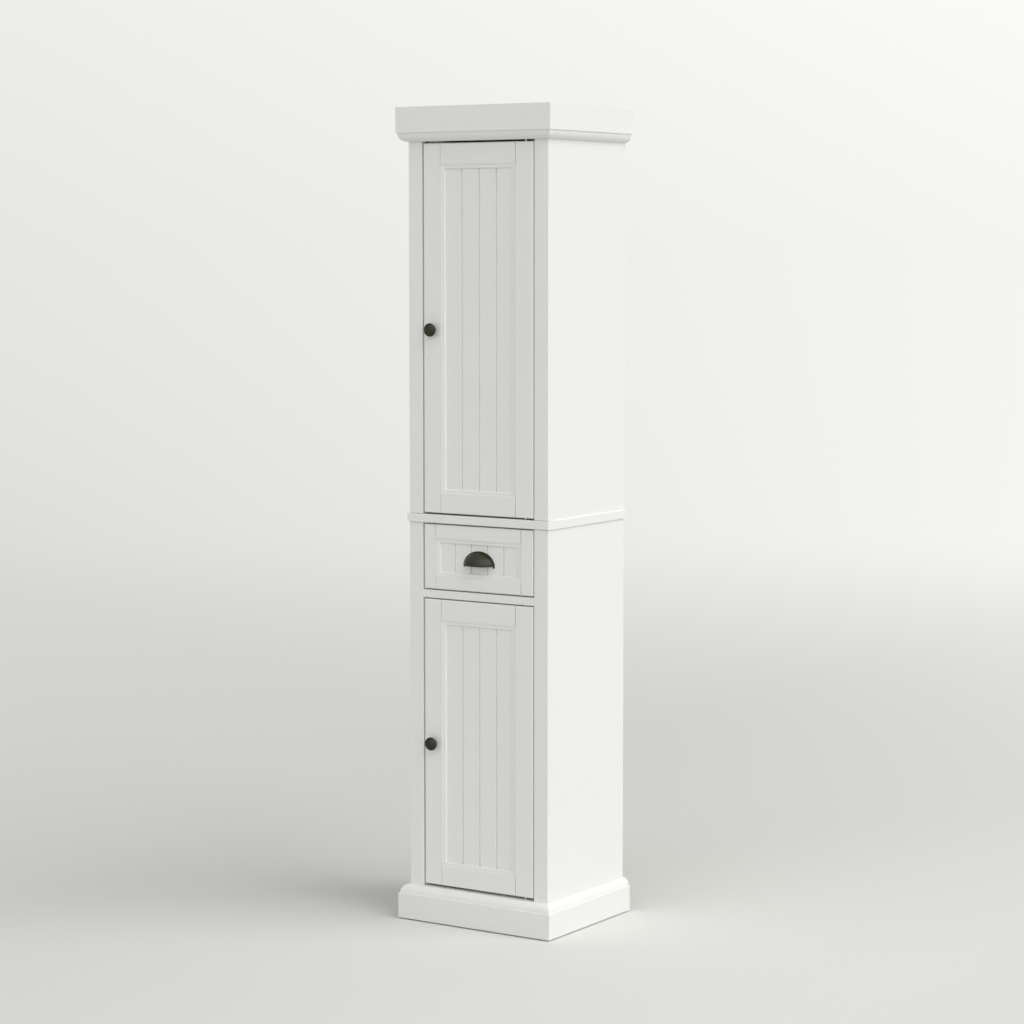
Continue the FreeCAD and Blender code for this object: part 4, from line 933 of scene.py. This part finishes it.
class CABINET_OT_cup_pull(bpy.types.Operator):
    """Make the cup pull of the drawer and the screws that hold it from behind"""

    bl_idname = "cabinet.cup_pull"
    bl_label = "Make Cup Pull"

    def execute(self, context):
        hardware = context.scene.cabinet_hardware
        low, high = span("drawer_cup_pull")
        panel_face = high[1]
        half_width, projection = high[0], panel_face - low[1]
        lip = low[2] + hardware.pull_ear_drop
        rise = high[2] - lip
        wall = hardware.pull_wall
        shell_half, shell_rise = (size - hardware.pull_flange - wall / 2 for size in (half_width, rise))
        shell = cup_shell(half_width - hardware.pull_flange, projection, shell_rise, wall)
        shell += np.array([0.0, panel_face, lip + wall / 2])
        outline = flange_outline(hardware, half_width, rise, shell_half, shell_rise, low[2])
        flange_ease, flange_front = 0.8 * MM, panel_face - 2.0 * MM
        rim = eased_bar(outline, np.zeros(len(outline)), flange_ease, flange_front, panel_face, "y")
        low, high = span("drawer_pull_screws")
        head_radius = 2 * hardware.screw_radius
        spacing = high[0] - head_radius
        level = (low[2] + high[2]) / 2
        thin, foot, end = hardware.post_radius, hardware.post_foot_radius, hardware.post_length
        buried, foot_top, neck = -1.0 * MM, 1.6 * MM, 2.6 * MM
        post = turned(
            [(0, buried), (foot, buried), (foot, foot_top), (thin, neck), (thin, end), (0, end)],
            np.array([0, 0, 0, 0.8, 0.5, 0]) * MM, (spacing, panel_face, level), "y", -1.0, 24)
        dress("drawer_cup_pull", "cast", [shell, rim] + sides_of(post), "drawer", sharp=40.0)
        back = high[1] - hardware.screw_head_height
        shank, end = hardware.screw_radius, back - low[1]
        heads = sides_of(screw_head((spacing, back, level), head_radius, hardware.screw_head_height))
        shanks = sides_of(turned(
            [(0, 0), (shank, 0), (shank, end), (0, end)], np.zeros(4), (spacing, back, level), "y", -1.0, 16))
        dress("drawer_pull_screws", "turned", heads + shanks, "drawer")
        return {"FINISHED"}


class CABINET_OT_pins(bpy.types.Operator):
    """Make the pivot pins, the shelf pins and the floor glides"""

    bl_idname = "cabinet.pins"
    bl_label = "Make Pins and Glides"

    def execute(self, context):
        hardware = context.scene.cabinet_hardware
        ease = hardware.pin_ease
        for door in DOORS:
            low, high = span(door + "_pivot_pins")
            stile_low, stile_high = span(door + "_hinge_stile")
            x, y = (low + high)[:2] / 2
            ends = (low[2], stile_low[2] + hardware.pin_seat), (stile_high[2] - hardware.pin_seat, high[2])
            radius = x - low[0]
            pins = [turned(
                [(0, start), (radius, start), (radius, end), (0, end)], [0, ease, ease, 0], (x, y, 0.0), "z",
                1.0, 20) for start, end in ends]
            dress(door + "_pivot_pins", "turned", pins, door)
        side_inner = span("upper_side_right")[0][0]
        thin, thick, reach = hardware.shelf_pin_radius, hardware.shelf_pin_head, hardware.shelf_pin_reach
        outline = [(0, -reach), (thick, -reach), (thick, 0), (thin, 0), (thin, reach), (0, reach)]
        (_, front, _), (_, back, _) = span("upper_shelves")
        pins = []
        for underside, _ in sum(shelf_levels().values(), ()):
            for row in (front + hardware.shelf_pin_inset, back - hardware.shelf_pin_inset):
                pins += sides_of(turned(
                    outline, [0, ease, 0.3 * ease, 0, ease, 0], (side_inner, row, underside - thick), "x",
                    1.0, 20))
        dress("shelf_pins", "turned", pins)
        low, high = span("floor_glides")
        radius, height = hardware.glide_radius, hardware.glide_height
        rear = span("lower_side_right")[1][0] - hardware.glide_back_inset
        glides = []
        for x, y in ((high[0] - radius, low[1] + radius), (rear, high[1] - radius)):
            glides += sides_of(turned(
                [(0, 0), (radius, 0), (radius, height), (0, height)], [0, 1.6 * ease, 0.2 * ease, 0],
                (x, y, 0.0), "z", 1.0, 32))
        dress("floor_glides", "moulded", glides)
        return {"FINISHED"}


class CABINET_OT_rollers(bpy.types.Operator):
    """Make the nylon rollers of the drawer runners"""

    bl_idname = "cabinet.rollers"
    bl_label = "Make Rollers"

    def execute(self, context):
        hardware = context.scene.cabinet_hardware
        for node in ("cabinet_rollers", "drawer_rollers"):
            low, high = span(node)
            radius, width = (high[2] - low[2]) / 2, hardware.roller_width
            bore, hub, web = hardware.roller_bore, hardware.roller_hub, hardware.roller_web
            dish, slant = hardware.roller_dish, 0.3 * MM
            face = [(bore, 0), (hub, 0), (hub + slant, dish), (web, dish), (web + slant, 0), (radius, 0)]
            far_face = [(r, width - h) for r, h in face[::-1]]
            radii = np.array([0.2] * 5 + [0.8]) * MM
            place = (high[0] - width, (low[1] + high[1]) / 2, (low[2] + high[2]) / 2)
            roller = turned(
                face + far_face, np.concatenate([radii, radii[::-1]]), place, "x", 1.0,
                hardware.turned_sides, 3, hollow=True)
            dress(node, "turned", sides_of(roller), node, loops=True)
        return {"FINISHED"}


# ---------------------------------------------------------------- stage

def background_shade(f, stage, direction):
    """A colour between the background's painted shade and painted light, by how far a direction points
    towards the lamp's side and up.
    """
    share = f.spread(f.vector("DOT_PRODUCT", direction, LIGHTWARD, "Value"), *LIGHTWARD_RANGE)
    return f.blend(share, stage.background_painted_shade, stage.background_painted_light)


def seen_rays(f):
    """One for the camera's own rays, also through glass or off a shiny surface, and nought for the others."""
    path = f.node("ShaderNodeLightPath").outputs
    first = f.maths("MAXIMUM", path["Is Camera Ray"], path["Is Glossy Ray"])
    return f.maths("MAXIMUM", first, path["Is Transmission Ray"])


def floor_finish(stage):
    """The floor's material: near the cabinet, painted shade away from the lamp and painted light towards it,
    fading into the background colour far away.

    Only camera, glossy and transmission rays see the painted colours and the background colour, so that they
    add no light; the light that the floor throws on the cabinet comes from its plain bounce colour.
    """
    material = bpy.data.materials.new("stage_floor")
    f = Shader(material)
    seen = seen_rays(f)
    # Painted light: the seen floor turns from painted shade on the left, away from the lamp, to painted light
    # on the right, towards it.
    across = f.node("ShaderNodeSeparateXYZ", Vector=f.place).outputs["X"]
    seen_with_painted_light = f.blend(f.spread(across, -1.0, 1.0), stage.floor_painted_shade, stage.floor_painted_light)
    plain = f.node("ShaderNodeBsdfDiffuse", Color=f.blend(seen, stage.floor_bounce, seen_with_painted_light))
    outward = f.vector("NORMALIZE", f.vector("SUBTRACT", f.place, (0.0, 0.0, EYE_HEIGHT)))
    far = f.node("ShaderNodeEmission", Color=background_shade(f, stage, outward))
    fade = f.node(
        "ShaderNodeMapRange", {"interpolation_type": "SMOOTHSTEP"},
        Value=f.vector("LENGTH", f.place, output="Value"), From_Min=FLOOR_FADE[0], From_Max=FLOOR_FADE[1])
    mix = f.node(
        "ShaderNodeMixShader", Fac=f.maths("MULTIPLY", fade.outputs["Result"], seen),
        i1=plain.outputs["BSDF"], i2=far.outputs["Emission"])
    f.node("ShaderNodeOutputMaterial", Surface=mix.outputs["Shader"])
    return material


class CABINET_OT_stage(bpy.types.Operator):
    """Make the floor, the background, the lamps and the camera"""

    bl_idname = "cabinet.stage"
    bl_label = "Make Stage"

    def execute(self, context):
        stage = context.scene.cabinet_stage
        radius = np.concatenate([[0.02], np.geomspace(0.5, FLOOR_RADIUS, 24)])
        angle = np.linspace(0.0, 2 * np.pi, 64, endpoint=False)
        x, y = radius[:, None] * np.cos(angle), radius[:, None] * np.sin(angle)
        points = np.stack([x, y, 0 * x], -1)
        quads, caps = faces_of(points)
        faces = quads[:, ::-1].tolist() + [caps[0][::-1].tolist()]
        mesh = bpy.data.meshes.new("stage_floor")
        mesh.from_pydata(points.reshape(-1, 3).tolist(), [], faces)
        mesh.materials.append(floor_finish(stage))
        floor = bpy.data.objects.new("stage_floor", mesh)
        context.scene.collection.objects.link(floor)

        world = bpy.data.worlds.new("stage_world")
        f = Shader(world)
        # The camera sees the background with painted light towards the lamp's side and painted shade away
        # from it; the even sky lights the scene.
        seen = f.node("ShaderNodeBackground", Color=background_shade(f, stage, f.coordinates["Generated"]))
        light = f.node("ShaderNodeBackground", Color=(*stage.sky, 1.0))
        mix = f.node(
            "ShaderNodeMixShader", Fac=seen_rays(f), i1=light.outputs["Background"],
            i2=seen.outputs["Background"])
        f.node("ShaderNodeOutputWorld", Surface=mix.outputs["Shader"])
        context.scene.world = world

        for name, energy, spread, (height, turn) in (
                ("lamp_right", stage.key_strength, stage.key_spread, KEY_ANGLES),
                ("lamp_low", stage.low_strength, stage.low_spread, LOW_ANGLES),
                ("lamp_front", stage.fill_strength, stage.fill_spread, FILL_ANGLES)):
            lamp = bpy.data.lights.new(name, "SUN")
            lamp.energy, lamp.angle = energy, spread
            placed = bpy.data.objects.new(name, lamp)
            context.scene.collection.objects.link(placed)
            placed.rotation_euler = (0.0, radians(90 - height), radians(-turn))

        camera = bpy.data.cameras.new("camera")
        camera.lens = stage.lens
        camera.sensor_width = 36.0
        camera.clip_end = SIGHT
        stand = bpy.data.objects.new("camera", camera)
        context.scene.collection.objects.link(stand)
        tilt, turn = CAMERA_ANGLES
        stand.location = CAMERA_PLACE
        stand.rotation_euler = (radians(90 - tilt), 0.0, radians(turn))
        context.scene.camera = stand
        context.scene.view_settings.view_transform = "Standard"
        return {"FINISHED"}


# ---------------------------------------------------------------- panel and registration

GROUPS = {
    "cabinet_boards": CABINET_PG_boards,
    "cabinet_fronts": CABINET_PG_fronts,
    "cabinet_hardware": CABINET_PG_hardware,
    "cabinet_finishes": CABINET_PG_finishes,
    "cabinet_stage": CABINET_PG_stage,
}
OPERATORS = (
    CABINET_OT_finishes, CABINET_OT_mouldings, CABINET_OT_carcase_boards, CABINET_OT_fronts, CABINET_OT_knobs,
    CABINET_OT_cup_pull, CABINET_OT_pins, CABINET_OT_rollers, CABINET_OT_stage)


class CABINET_PT_sidebar(bpy.types.Panel):
    """Lists the cabinet's settings and the steps that make it"""

    bl_idname = "CABINET_PT_sidebar"
    bl_label = "Tall Bathroom Cabinet"
    bl_space_type = "VIEW_3D"
    bl_region_type = "UI"
    bl_category = "Cabinet"

    def draw(self, context):
        for operator in OPERATORS:
            self.layout.operator(operator.bl_idname)
        for name in GROUPS:
            box = self.layout.box()
            group = getattr(context.scene, name)
            for setting in group.bl_rna.properties:
                if not setting.is_readonly and setting.identifier != "name":
                    box.prop(group, setting.identifier)


def register():
    for group in GROUPS.values():
        bpy.utils.register_class(group)
    for name, group in GROUPS.items():
        setattr(bpy.types.Scene, name, PointerProperty(type=group))
    for made in (*OPERATORS, CABINET_PT_sidebar):
        bpy.utils.register_class(made)


def unregister():
    for made in (CABINET_PT_sidebar, *reversed(OPERATORS)):
        bpy.utils.unregister_class(made)
    for name, group in reversed(GROUPS.items()):
        delattr(bpy.types.Scene, name)
        bpy.utils.unregister_class(group)


def main():
    register()
    for operator in OPERATORS:
        category, name = operator.bl_idname.split(".")
        getattr(getattr(bpy.ops, category), name)()


if __name__ == "__main__":
    main()
